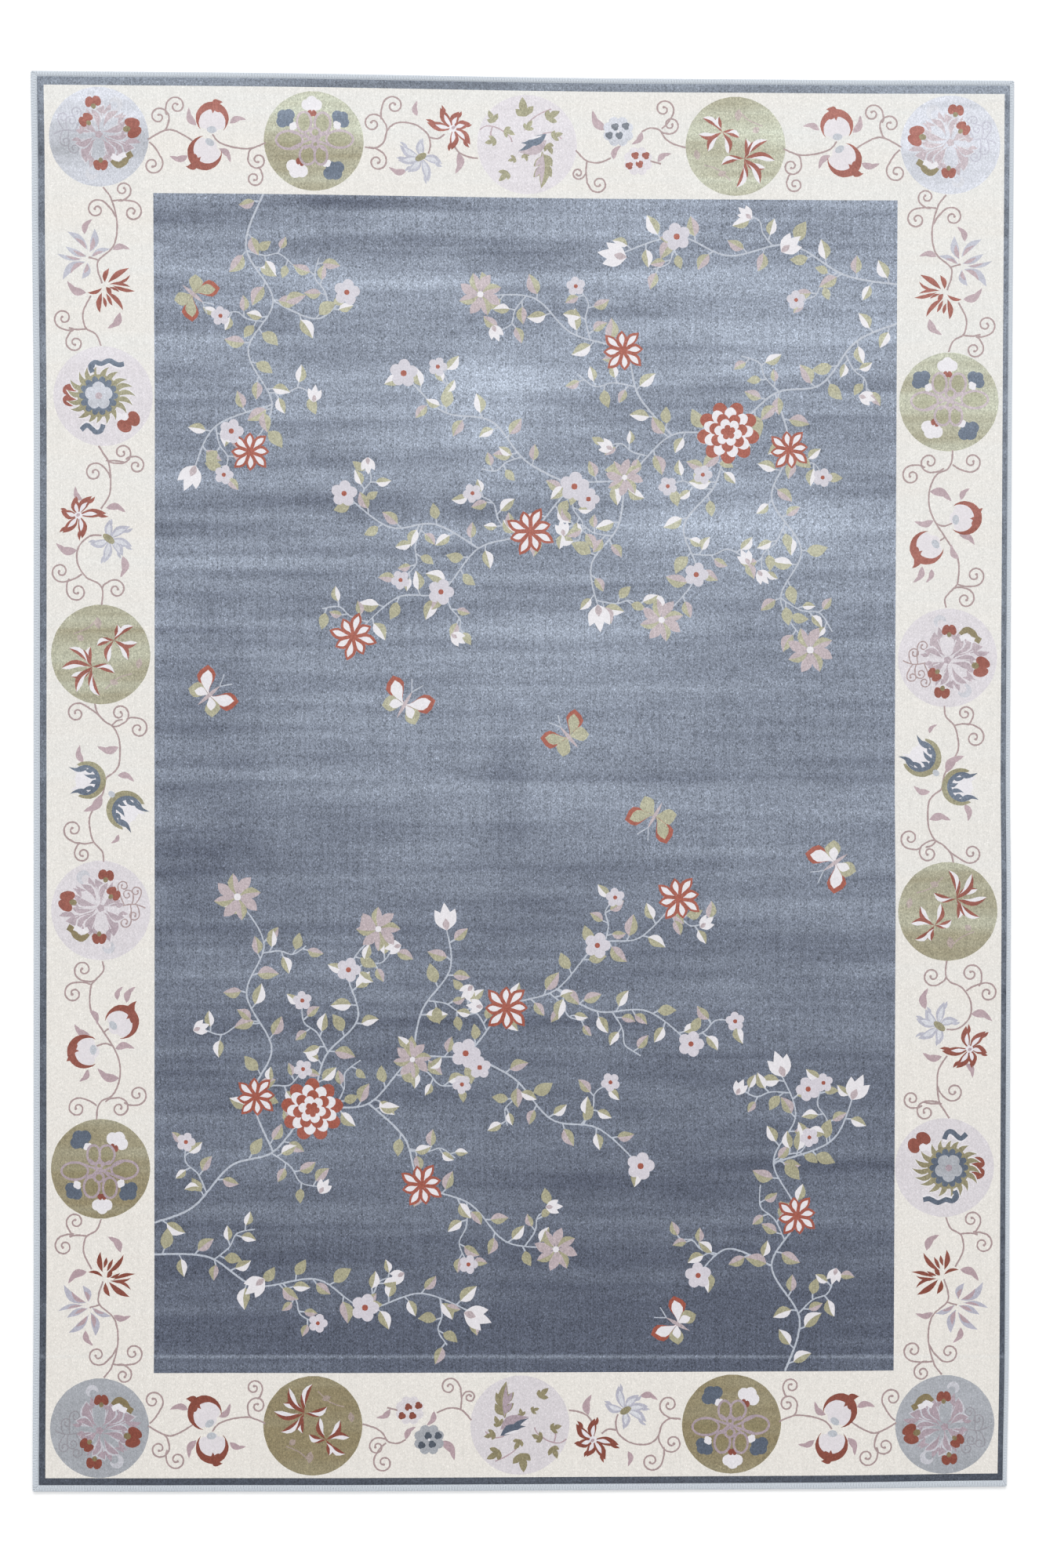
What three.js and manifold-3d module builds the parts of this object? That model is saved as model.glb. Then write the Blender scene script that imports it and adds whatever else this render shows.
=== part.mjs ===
// A woven rug with a low cut pile, lying flat, and the yarn edges sewn round its four sides.
// Millimetres, +Z up. The origin is on the floor under the rug's middle, and +Y runs along its length.

import * as THREE from 'three';
import { mergeVertices } from 'three/addons/utils/BufferGeometryUtils.js';
import Module from 'manifold-3d';

const wasm = await Module();
wasm.setup();

// The rug's plain rectangle, over the sewn edges, before its unevenness
const RUG_WIDTH = 1596;
const RUG_LENGTH = 2306;

// Heights above the floor
const PILE_TOP = 7;
const EDGE_TOP = 6.4;

// The sewn edge is a roll of yarn that wraps the rug's thin trimmed rim
const YARN_LAYER = 1.5;
const YARN_OUTSIDE_RIM = 2;
const CROWN_ROUND = 3;
const FOOT_ROUND = 1;
const CORNER_ROUND = 5;

// Free space between touching pieces, and how far a mitred end is cut back to leave it
const GAP = 0.3;
const MITRE_BACK = 0.25;

// A side is cut into lengths of about this much, so that it can follow its bow
const STATION_SPACING = 110;
const ROUND_SEGMENTS = 4;

// The sides in turn, each with its place round the rug, the way it runs and its edge's width
const SIDES = [
  { name: 'bottom', turn: 0, length: RUG_WIDTH, reach: RUG_LENGTH / 2, edgeWidth: 11.2 },
  { name: 'right', turn: Math.PI / 2, length: RUG_LENGTH, reach: RUG_WIDTH / 2, edgeWidth: 7.4 },
  { name: 'top', turn: Math.PI, length: RUG_WIDTH, reach: RUG_LENGTH / 2, edgeWidth: 9.3 },
  { name: 'left', turn: -Math.PI / 2, length: RUG_LENGTH, reach: RUG_WIDTH / 2, edgeWidth: 10.6 },
];

// How far each corner lies off the plain rectangle, to the right and up
const CORNER_PULL = {
  topLeft: { right: -4, up: 5.7 },
  topRight: { right: 4, up: -10.3 },
  bottomLeft: { right: -0.8, up: -5.7 },
  bottomRight: { right: -8.2, up: 2.6 },
};

// How far each side bows out between its corners, by the share of its length.
// The upright sides are read from the bottom up, and the others from the left.
const SIDE_BOW = {
  left: [
    { share: 0, out: 0 },
    { share: 0.17, out: -2.4 },
    { share: 0.5, out: -3.5 },
    { share: 0.74, out: -4.4 },
    { share: 0.93, out: -1.7 },
    { share: 1, out: 0 },
  ],
  right: [
    { share: 0, out: 0 },
    { share: 0.1, out: 2.3 },
    { share: 0.4, out: 1.8 },
    { share: 0.52, out: -1 },
    { share: 0.75, out: -0.8 },
    { share: 1, out: 0 },
  ],
  top: [
    { share: 0, out: 0 },
    { share: 0.22, out: 0.5 },
    { share: 0.58, out: -2.8 },
    { share: 0.8, out: -1.9 },
    { share: 1, out: 0 },
  ],
  bottom: [
    { share: 0, out: 0 },
    { share: 0.16, out: 1.2 },
    { share: 0.34, out: 2.3 },
    { share: 0.8, out: 2.2 },
    { share: 1, out: 0 },
  ],
};

const MATERIALS = {
  pile: new THREE.MeshStandardMaterial({ color: 0x6e7b91, roughness: 0.85, metalness: 0 }),
  edgeYarn: new THREE.MeshStandardMaterial({ color: 0xbccbd8, roughness: 0.8, metalness: 0 }),
};

// The bow of one side at a share of its length, eased between the rows of its table
function bowAt(rows, share) {
  const place = THREE.MathUtils.clamp(share, 0, 1);
  const next = Math.max(1, rows.findIndex((row) => row.share >= place));
  const before = rows[next - 1];
  const after = rows[next];
  const ease = THREE.MathUtils.smoothstep(place, before.share, after.share);
  return THREE.MathUtils.lerp(before.out, after.out, ease);
}

// Where the plain rectangle's point lies on the real, uneven rug
function unevenPoint(x, y) {
  const across = x / RUG_WIDTH + 0.5;
  const along = y / RUG_LENGTH + 0.5;
  const { topLeft, topRight, bottomLeft, bottomRight } = CORNER_PULL;
  const blend = (key) => THREE.MathUtils.lerp(
    THREE.MathUtils.lerp(bottomLeft[key], bottomRight[key], across),
    THREE.MathUtils.lerp(topLeft[key], topRight[key], across),
    along,
  );
  const rightBow = bowAt(SIDE_BOW.right, along) * across - bowAt(SIDE_BOW.left, along) * (1 - across);
  const upBow = bowAt(SIDE_BOW.top, across) * along - bowAt(SIDE_BOW.bottom, across) * (1 - along);
  return { x: x + blend('right') + rightBow, y: y + blend('up') + upBow };
}

function makeUneven(geometry) {
  const positions = geometry.attributes.position;
  for (let i = 0; i < positions.count; i += 1) {
    const point = unevenPoint(positions.getX(i), positions.getY(i));
    positions.setXY(i, point.x, point.y);
  }
  return geometry;
}

function toSolid(geometry) {
  const bare = geometry.clone();
  bare.deleteAttribute('normal');
  bare.deleteAttribute('uv');
  const merged = mergeVertices(bare);
  return new wasm.Manifold(new wasm.Mesh({
    numProp: 3,
    vertProperties: new Float32Array(merged.attributes.position.array),
    triVerts: new Uint32Array(merged.index.array),
  }));
}

function toMesh(name, solid, material) {
  const { vertProperties, triVerts } = solid.getMesh();
  const geometry = new THREE.BufferGeometry();
  geometry.setAttribute('position', new THREE.BufferAttribute(vertProperties, 3));
  geometry.setIndex(new THREE.BufferAttribute(triVerts, 1));
  geometry.computeVertexNormals();
  const mesh = new THREE.Mesh(geometry, material);
  mesh.name = name;
  return mesh;
}

// A flat layer of the rug between two heights. inFromEdge gives its distance in from each side.
function layer(inFromEdge, bottom, top) {
  const [low, right, high, left] = SIDES.map(inFromEdge);
  const corners = [
    new THREE.Vector2(-RUG_WIDTH / 2 + left, -RUG_LENGTH / 2 + low),
    new THREE.Vector2(RUG_WIDTH / 2 - right, -RUG_LENGTH / 2 + low),
    new THREE.Vector2(RUG_WIDTH / 2 - right, RUG_LENGTH / 2 - high),
    new THREE.Vector2(-RUG_WIDTH / 2 + left, RUG_LENGTH / 2 - high),
  ];
  const outline = corners.flatMap((start, i) => {
    const end = corners[(i + 1) % corners.length];
    const steps = Math.round(start.distanceTo(end) / STATION_SPACING);
    return Array.from({ length: steps }, (_, step) => start.clone().lerp(end, step / steps));
  });
  const geometry = new THREE.ExtrudeGeometry(new THREE.Shape(outline), {
    depth: top - bottom,
    bevelEnabled: false,
  });
  geometry.translate(0, 0, bottom);
  return toSolid(makeUneven(geometry));
}

// The woven cloth: full thickness inside the sewn edges, and a thin rim that reaches into them
function wovenBody() {
  const cloth = layer((side) => side.edgeWidth + GAP, 0, PILE_TOP);
  const rim = layer(() => YARN_OUTSIDE_RIM + GAP, YARN_LAYER + GAP, EDGE_TOP - YARN_LAYER - GAP);
  return cloth.add(rim);
}

// The section of a sewn edge: x is the distance in from the rug's outer edge, y is the height
function edgeSection(width) {
  const section = new THREE.Shape();
  section.moveTo(width, 0);
  section.lineTo(width, YARN_LAYER);
  section.lineTo(YARN_OUTSIDE_RIM, YARN_LAYER);
  section.lineTo(YARN_OUTSIDE_RIM, EDGE_TOP - YARN_LAYER);
  section.lineTo(width, EDGE_TOP - YARN_LAYER);
  section.lineTo(width, EDGE_TOP);
  section.lineTo(CROWN_ROUND, EDGE_TOP);
  section.quadraticCurveTo(0, EDGE_TOP, 0, EDGE_TOP - CROWN_ROUND);
  section.lineTo(0, FOOT_ROUND);
  section.quadraticCurveTo(0, 0, FOOT_ROUND, 0);
  return section;
}

// What a rounded corner takes off the square one, with the corner at the origin of its outline
function cornerWaste() {
  const waste = new THREE.Shape();
  waste.moveTo(-CORNER_ROUND, -CORNER_ROUND);
  waste.lineTo(CORNER_ROUND, -CORNER_ROUND);
  waste.lineTo(CORNER_ROUND, 0);
  waste.absarc(CORNER_ROUND, CORNER_ROUND, CORNER_ROUND, -Math.PI / 2, -Math.PI, true);
  waste.lineTo(-CORNER_ROUND, CORNER_ROUND);
  return new THREE.ExtrudeGeometry(waste, {
    depth: EDGE_TOP + 2 * GAP,
    bevelEnabled: false,
    curveSegments: ROUND_SEGMENTS,
  });
}

// Sections stand across the side: into the rug is +Y, up is +Z and the side runs along +X
const ACROSS_THE_SIDE = new THREE.Matrix4().makeBasis(
  new THREE.Vector3(0, 1, 0),
  new THREE.Vector3(0, 0, 1),
  new THREE.Vector3(1, 0, 0),
);

// One sewn edge, mitred to meet its neighbours, with its share of the rounded corners
function sewnEdge(side, before, after) {
  const run = new THREE.ExtrudeGeometry(edgeSection(side.edgeWidth), {
    depth: side.length,
    steps: Math.round(side.length / STATION_SPACING),
    bevelEnabled: false,
    curveSegments: ROUND_SEGMENTS,
  });
  run.applyMatrix4(ACROSS_THE_SIDE);

  const positions = run.attributes.position;
  for (let i = 0; i < positions.count; i += 1) {
    const share = positions.getX(i) / side.length;
    const inward = positions.getY(i) / side.edgeWidth;
    const start = inward * before.edgeWidth + MITRE_BACK;
    const end = side.length - inward * after.edgeWidth - MITRE_BACK;
    positions.setX(i, THREE.MathUtils.lerp(start, end, share) - side.length / 2);
  }

  const onTheRug = new THREE.Matrix4()
    .makeRotationZ(side.turn)
    .multiply(new THREE.Matrix4().makeTranslation(0, -side.reach, 0));
  run.applyMatrix4(onTheRug);
  let solid = toSolid(makeUneven(run));

  for (const end of [-1, 1]) {
    const waste = cornerWaste();
    waste.rotateZ(end > 0 ? Math.PI / 2 : 0);
    waste.translate(end * side.length / 2, 0, -GAP);
    waste.applyMatrix4(onTheRug);
    solid = solid.subtract(toSolid(makeUneven(waste)));
  }
  return solid;
}

const rug = new THREE.Group();
rug.add(toMesh('woven_body', wovenBody(), MATERIALS.pile));
SIDES.forEach((side, i) => {
  const before = SIDES[(i + SIDES.length - 1) % SIDES.length];
  const after = SIDES[(i + 1) % SIDES.length];
  rug.add(toMesh(`sewn_edge_${side.name}`, sewnEdge(side, before, after), MATERIALS.edgeYarn));
});

export default rug;
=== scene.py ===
import cmath
import math
import random

import bmesh
import bpy
import numpy as np
from bpy.props import FloatProperty, FloatVectorProperty, PointerProperty
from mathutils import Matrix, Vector
from mathutils.geometry import delaunay_2d_cdt


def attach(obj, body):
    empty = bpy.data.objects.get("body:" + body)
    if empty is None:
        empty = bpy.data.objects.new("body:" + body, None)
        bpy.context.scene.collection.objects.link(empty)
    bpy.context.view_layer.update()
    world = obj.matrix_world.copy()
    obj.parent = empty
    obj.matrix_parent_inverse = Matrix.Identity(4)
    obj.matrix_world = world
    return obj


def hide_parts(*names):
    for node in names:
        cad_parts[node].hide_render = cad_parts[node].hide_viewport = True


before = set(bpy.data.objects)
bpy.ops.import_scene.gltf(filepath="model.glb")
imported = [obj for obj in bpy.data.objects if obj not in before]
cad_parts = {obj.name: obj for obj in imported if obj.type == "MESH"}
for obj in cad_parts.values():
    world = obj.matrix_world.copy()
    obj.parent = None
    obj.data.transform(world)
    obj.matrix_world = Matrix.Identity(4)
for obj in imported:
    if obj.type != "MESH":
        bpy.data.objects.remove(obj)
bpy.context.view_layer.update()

bl_info = {
    "name": "Bordered woven rug",
    "version": (1, 0, 0),
    "blender": (4, 5, 0),
    "location": "3D view > Sidebar > Rug",
    "description": "A woven rug with a low cut pile, its pattern laid in as yarns, and sewn yarn edges",
    "category": "Add Mesh",
}

# The rug's plain rectangle in millimetres, over the sewn edges, before its unevenness
RUG_WIDTH = 1596
RUG_LENGTH = 2306
GAP = 0.3
RIM_INSET = 2.3
CORNER_ROUND = 5
EDGE_WIDTHS = {"bottom": 11.2, "right": 7.4, "top": 9.3, "left": 10.6}

# How far each corner lies off the plain rectangle, to the right and up
CORNER_PULL = {
    "top_left": (-4, 5.7),
    "top_right": (4, -10.3),
    "bottom_left": (-0.8, -5.7),
    "bottom_right": (-8.2, 2.6),
}

# How far each side bows out between its corners, by the share of its length
SIDE_BOW = {
    "left": [(0, 0), (0.17, -2.4), (0.5, -3.5), (0.74, -4.4), (0.93, -1.7), (1, 0)],
    "right": [(0, 0), (0.1, 2.3), (0.4, 1.8), (0.52, -1), (0.75, -0.8), (1, 0)],
    "top": [(0, 0), (0.22, 0.5), (0.58, -2.8), (0.8, -1.9), (1, 0)],
    "bottom": [(0, 0), (0.16, 1.2), (0.34, 2.3), (0.8, 2.2), (1, 0)],
}

# The pattern is drawn in knots, one tuft of the weave each, as complex numbers with +y up
KNOT = 1.2775
PATTERN_CENTRE = 2.5 - 1.2j
FIELD = (-469.7, -751.1, 476.8, 747.8)
BAND = (-607.7, -884.7, 612.1, 884.4)
DISC_RADIUS = 63.3
VINE_WIDTH = 2.2
SNAP = 0.5
STATION = 30

# Heights above the floor, in millimetres
BACKING_TOP = 2.5
RIM_BOTTOM = 1.8
PILE_TOP = 7

# The camera looks straight down, from this far above the pile
CAMERA_HEIGHT = 4.968
CAMERA_LENS = 70
CAMERA_SENSOR = 36
CAMERA_PLACE = (0.00096, -0.0045)

# The floor's half width, and the soft light beyond the rug's upper end, in metres
FLOOR_REACH = 12
LIGHT_SIZE = (10, 5)
LIGHT_PLACE = Vector((0.0, 8.5, 8.0))

# How much brighter the stage's light makes a colour
STAGE_LIGHT = 1.2


def lerp(start, end, share):
    return start + (end - start) * share


def from_255(colour):
    """A colour given as whole numbers up to 255, in shares of full brightness."""
    return [value / 255 for value in colour]


def linear(colour):
    """The linear colour that looks like an sRGB one, given in shares, under the stage's light."""
    plain = [((share + 0.055) / 1.055) ** 2.4 if share > 0.04045 else share / 12.92 for share in colour]
    return tuple(value / STAGE_LIGHT for value in plain)


# Placing on the real, uneven rug

def bow_at(side, share):
    """The bow of one side at a share of its length, eased between the rows of its table."""
    place = min(max(share, 0), 1)
    rows = SIDE_BOW[side]
    for (start, before), (end, after) in zip(rows, rows[1:]):
        if place <= end:
            ease = (place - start) / (end - start)
            return lerp(before, after, ease * ease * (3 - 2 * ease))
    return 0


def uneven(x, y):
    """Where the plain rectangle's point lies on the real rug, in millimetres."""
    across = x / RUG_WIDTH + 0.5
    along = y / RUG_LENGTH + 0.5
    pulls = []
    for axis in (0, 1):
        low = lerp(CORNER_PULL["bottom_left"][axis], CORNER_PULL["bottom_right"][axis], across)
        high = lerp(CORNER_PULL["top_left"][axis], CORNER_PULL["top_right"][axis], across)
        pulls.append(lerp(low, high, along))
    right_bow = bow_at("right", along) * across - bow_at("left", along) * (1 - across)
    up_bow = bow_at("top", across) * along - bow_at("bottom", across) * (1 - along)
    return x + pulls[0] + right_bow, y + pulls[1] + up_bow


def on_rug(x, y, z):
    """A point given in millimetres on the plain rectangle, in metres on the real rug."""
    real_x, real_y = uneven(x, y)
    return real_x / 1000, real_y / 1000, z / 1000


# Outlines in knots

def polar(length, degrees):
    """A step of a length at an angle in degrees."""
    return complex(length * math.cos(math.radians(degrees)), length * math.sin(math.radians(degrees)))


def spline(points, step=2.5):
    """Points about a step apart on a smooth curve through the given ones."""
    ends = [points[0], *points, points[-1]]
    path = []
    for a, b, c, d in zip(ends, ends[1:], ends[2:], ends[3:]):
        steps = max(1, round(abs(c - b) / step))
        for i in range(steps):
            t = i / steps
            path.append((2 * b + (c - a) * t + (2 * a - 5 * b + 4 * c - d) * t ** 2
                         + (3 * b - a - 3 * c + d) * t ** 3) / 2)
    path.append(points[-1])
    return path


def ribbon(path, width, end_width=None):
    """The outline of a line of yarn along a path."""
    end_width = width if end_width is None else end_width
    last = len(path) - 1
    left = []
    right = []
    for i, place in enumerate(path):
        along = path[min(i + 1, last)] - path[max(i - 1, 0)]
        reach = lerp(width, end_width, i / last) / 2 * 1j * along / (abs(along) or 1)
        left.append(place + reach)
        right.append(place - reach)
    return left + right[::-1]


def oval(centre, width, height=None, turn=0, steps=None):
    """An ellipse, its width and height across, turned by degrees."""
    height = width if height is None else height
    steps = steps or max(8, round((width + height) * 0.45))
    spin = polar(1, turn)
    angles = [2 * math.pi * i / steps for i in range(steps)]
    return [centre + spin * complex(width / 2 * math.cos(a), height / 2 * math.sin(a)) for a in angles]


def blade(base, tip, width, bend=0.0, belly=0.5, half=0):
    """A leaf or petal from its base to its tip. A half of 1 or -1 gives only its left or right half."""
    along = tip - base
    side = 1j * along / abs(along)
    power = math.log(0.5) / math.log(belly)

    def place(share, reach):
        bow = 4 * share * (1 - share) * bend * abs(along)
        swell = math.sin(math.pi * share ** power) * width / 2
        return base + along * share + side * (bow + reach * swell)

    steps = 6
    stations = [i / steps for i in range(steps + 1)]
    left = [place(share, 1 if half >= 0 else 0) for share in stations]
    right = [place(share, -1 if half <= 0 else 0) for share in stations[1:-1]]
    return left + right[::-1]


def lobed(centre, radius, count, depth=0.3, turn=0):
    """A round outline with lobes, the first one at the turn in degrees."""
    steps = count * 8
    outline = []
    for i in range(steps):
        angle = 2 * math.pi * i / steps
        swell = 1 - depth + depth * abs(math.cos(count * angle / 2)) ** 0.7
        outline.append(centre + polar(radius * swell, math.degrees(angle) + turn))
    return outline


def crescent(centre, radius, opening, inner, shift, mouth):
    """A crescent that opens towards an angle in degrees. Its hollow is smaller and shifted, by shares of it."""
    steps = 18
    outer = [opening + mouth + (360 - 2 * mouth) * i / steps for i in range(steps + 1)]
    outline = [centre + polar(radius, angle) for angle in outer]
    hollow = centre + polar(radius * shift, opening)
    return outline + [hollow + polar(radius * inner, angle) for angle in outer[-2:0:-1]]


# Simple motifs, each a list of yarn names with outlines, drawn one over the other

def vine(points, yarn="stem", width=VINE_WIDTH):
    """A line of yarn on a smooth curve through the points."""
    return [(yarn, ribbon(spline(points), width))]


def curl(start, centre, way, turns=1.35, yarn="stem", radius=14, width=VINE_WIDTH):
    """A tendril that runs to a ring round a centre and winds in. A way of 1 is counter-clockwise."""
    arm = start - centre
    reach = abs(arm)
    ring = min(radius, reach * 0.8)
    meet = cmath.phase(arm) + way * math.acos(ring / reach)
    first = centre + cmath.rect(ring, meet)
    middle = (start + first) / 2
    path = [start, middle + (middle - centre) * 0.1]
    steps = 24
    end_radius = 2.4
    tightness = 0.86
    for i in range(steps + 1):
        share = i / steps
        away = lerp(ring, end_radius, share ** tightness)
        path.append(centre + cmath.rect(away, meet + way * 2 * math.pi * turns * share))
    line = spline(path, 2)
    return [(yarn, ribbon(line, width)), (yarn, oval(line[-1], width + 1.4))]


def leaf(base, tip):
    """A leaf whose tip hooks a little to one side."""
    length = abs(tip - base)
    bend = 0.12
    outline = blade(base, tip, length * 0.42, bend, 0.45)
    hook = blade(lerp(base, tip, 0.55), tip + (tip - base) * 0.12 * (1 - 1.5j), length * 0.2, bend)
    return [("mauve", outline), ("mauve", hook)]


def spray(petals, yarn, heart=None):
    """Separate petals: base, tip, width and bend of each. Its heart is another yarn near the base."""
    shapes = [(yarn, blade(base, tip, width, bend, 0.5)) for base, tip, width, bend in petals]
    if heart:
        for base, tip, width, bend in petals:
            near = lerp(base, tip, 0.06)
            far = lerp(base, tip, 0.66)
            shapes.append((heart, blade(near, far, width * 0.55, bend, 0.45)))
    return shapes


def star(centre, tips, width, outer, inner, bend):
    """A flower of narrow petals, one half of each in another yarn."""
    shapes = []
    for i, tip in enumerate(tips):
        reach = abs(tip - centre)
        broad = min(width, reach * 0.45)
        swing = bend if i % 3 else -bend
        shapes.append((outer, blade(centre, tip, broad, swing, 0.58)))
        half = 1 if i % 2 else -1
        shapes.append((inner, blade(lerp(centre, tip, 0.18), tip, broad * 1.15, swing, 0.62, half)))
    return shapes


def lily(centre, tips, width, rim, inside, reach, broad):
    """A flower of pointed petals with hooked tips, each filled with another yarn as far as its reach."""
    shapes = []
    petals = [(tip, 0.1 if i % 2 else 0.05) for i, tip in enumerate(tips)]
    for tip, bend in petals:
        hook = tip + (tip - centre) * 0.07 * (1 - 1.6j)
        shapes.append((rim, blade(centre, tip, width, bend, 0.52)))
        shapes.append((rim, blade(lerp(centre, tip, 0.6), hook, width * 0.38, -bend)))
    for tip, bend in petals:
        near = lerp(centre, tip, 0.08)
        far = lerp(centre, tip, reach)
        shapes.append((inside, blade(near, far, width * broad, bend, 0.55)))
    return shapes


def pod(centre, radius, opening, hook, spot):
    """A bursting pod: a red calyx with barbs round a pale lobed body."""
    back = centre - polar(radius * 0.72, opening)
    shapes = [("red", blade(back, hook, 10, 0.2, 0.3))]
    for swing in (-1, 0, 1):
        lobe = centre + polar(radius * 0.44, opening + swing * 62)
        shapes.append(("pale", oval(lobe, radius * 0.95, radius * 0.85, opening + swing * 30)))
    shapes.append(("pale", oval(centre, radius * 1.5)))
    shapes.append(("red", crescent(centre, radius, opening, 0.81, 0.27, 42)))
    for swing, reach in ((-38, 0.42), (6, 0.5), (44, 0.36)):
        root = centre - polar(radius * 0.78, opening + swing)
        barb = root + polar(radius * reach, opening + swing * 1.9)
        shapes.append(("red", blade(root, barb, 6, 0.15, 0.3)))
    shapes.append(("blue_spot", oval(spot, 9, 13, opening)))
    return shapes


def husk(centre, radius, opening):
    """An olive husk with dark and white fingers reaching out of it."""
    apex = centre - polar(radius * 0.55, opening)
    shapes = [("white", oval(centre, radius * 1.3, radius * 1.3, opening))]
    for swing, reach in ((-24, 1.5), (-4, 1.3), (19, 1.55)):
        shapes.append(("white", blade(apex, apex + polar(radius * reach, opening + swing), radius * 0.34)))
    shapes.append(("olive_leaf", crescent(centre, radius, opening, 0.8, 0.16, 58)))
    inner = centre + polar(radius * 0.1, opening)
    shapes.append(("navy", crescent(inner, radius * 0.8, opening, 0.84, 0.14, 52)))
    for swing, reach in ((-88, 1.0), (-50, 0.7), (-14, 0.5), (22, 0.75), (56, 0.5), (88, 1.0)):
        root = centre - polar(radius * 0.62, opening + swing)
        away, bend = (-6, 0.12) if swing > 0 else (6, -0.12)
        tip = root + polar(radius * reach, opening + away)
        shapes.append(("navy", blade(root, tip, radius * 0.24, bend, 0.35)))
    return shapes


def blossom(centre, radius, yarn, spot_yarn, spots):
    """A four-petalled blossom with a coloured spot in each petal."""
    turn = 45
    shapes = []
    for quarter in range(4):
        angle = turn + quarter * 90
        for swing in (-22, 22):
            shapes.append((yarn, oval(centre + polar(radius * 0.66, angle + swing), radius * 0.66)))
    shapes.append((yarn, oval(centre, radius * 0.84)))
    for spot in spots:
        shapes.append((spot_yarn, lobed(centre + spot, 5, 3, 0.25, turn)))
    shapes.append(("white", oval(centre, 3.4)))
    return shapes


def bud(centre, width, height, turn, yarn="red", notch="olive_bud"):
    """A double-lobed bud, its base in another yarn. Its lobes point along the turn, in degrees."""
    across = polar(1, turn + 90)
    along = polar(1, turn)
    shapes = [(yarn, oval(centre - along * height * 0.12, height * 0.66, width * 0.6, turn))]
    for side in (-1, 1):
        lobe = centre + across * side * width * 0.25
        shapes.append((yarn, oval(lobe, height, width * 0.52, turn - side * 20)))
    if notch:
        shapes.append((notch, oval(centre - along * height * 0.44, height * 0.5, width * 0.34, turn)))
    return shapes


def sprig_leaf(centre, length, turn):
    """A leaf of three points."""
    base = centre - polar(length * 0.45, turn)
    shapes = []
    for swing, reach, width in ((-46, 0.66, 0.34), (46, 0.66, 0.34), (0, 1.0, 0.42)):
        tip = base + polar(length * reach, turn + swing)
        shapes.append(("olive_leaf", blade(base, tip, length * width, 0.06, 0.55)))
    return shapes


def placed(shapes, at=0, turn=0, flip_x=False, flip_y=False):
    """The same shapes, mirrored, turned by degrees and moved."""
    spin = polar(1, turn)
    moved = []
    for yarn, outline in shapes:
        points = outline
        if flip_x:
            points = [-point.conjugate() for point in points]
        if flip_y:
            points = [point.conjugate() for point in points]
        moved.append((yarn, [at + spin * point for point in points]))
    return moved


# The roundels

def swirl_disc(ground, petal, light, scroll_yarn):
    """A flower of broad bent petals, with double-lobed buds and a thin scroll."""
    shapes = [(ground, oval(0, 2 * DISC_RADIUS, steps=60))]
    shapes += vine([-57 - 3j, -48 - 7j, -38 - 8j, -28 - 6j], scroll_yarn, 1.6)
    curls = [
        (-46 - 7j, -42 + 6j, -1), (-38 - 8j, -31 + 15j, -1), (-44 - 8j, -45 - 24j, 1),
        (-30 - 7j, -29 - 31j, -1), (-40 - 8j, -34 - 20j, 1),
    ]
    for start, centre, way in curls:
        shapes += curl(start, centre, way, 1.15, scroll_yarn, 7.5, 1.6)
    petals = [
        (-2 - 4j, -25 - 12j, 14, 0.14), (1 - 7j, 7 - 40j, 13, -0.16), (-1 - 9j, -9 - 35j, 8, 0.14),
        (4 - 7j, 35 - 20j, 10, 0.14), (5 - 3j, 45 + 14j, 15, 0.14), (8 + 4j, 30 + 25j, 9, -0.14),
        (3 + 2j, 14 + 32j, 13, -0.16), (-3 + 2j, -17 + 33j, 14, 0.16), (-6 - 1j, -30 + 9j, 10, -0.14),
        (6 - 11j, 25 - 33j, 8, -0.16), (8 - 2j, 37 - 3j, 8, 0.1),
    ]
    for base, tip, width, bend in petals:
        hook = tip + (tip - base) * 0.12 * (1 - 1.8j if bend > 0 else 1 + 1.8j)
        shapes.append((light, blade(base, tip + (tip - base) * 0.05, width + 4, bend, 0.64)))
        shapes.append((petal, blade(base, tip, width, bend, 0.64)))
        shapes.append((petal, blade(lerp(base, tip, 0.66), hook, width * 0.5, -bend)))
        shapes.append((light, ribbon([lerp(base, tip, 0.34), lerp(base, tip, 0.7)], 1.2)))
    shapes.append((petal, lobed(0 - 3j, 5, 5, 0.2)))
    shapes += bud(2 + 36j, 18, 14, 90)
    shapes += bud(-17 - 22j, 18, 14, 225)
    shapes += bud(44 - 12j, 25, 20, -12)
    shapes += bud(-7 - 45j, 20, 14, 262)
    shapes += vine([17 + 29j, 24 + 36j, 32 + 32j, 36 + 25j, 42 + 21j], "olive_bud", 8)
    shapes += vine([16 + 24j, 24 + 28j, 27 + 25j, 34 + 22j], "white", 7)
    shapes.append(("highlight", crescent(-10 + 47j, 8, -60, 0.6, 0.42, 60)))
    shapes.append(("highlight", crescent(22 - 42j, 9, 140, 0.6, 0.42, 60)))
    return shapes


def loop_line(centre, half_width, half_height, turn=0):
    """A loop of light yarn with a darker middle."""
    outer = oval(centre, 2 * half_width + 3, 2 * half_height + 3, turn)
    inner = oval(centre, 2 * half_width - 3, 2 * half_height - 3, turn)
    return [("pink", outer), ("olive_deep", inner)]


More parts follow.
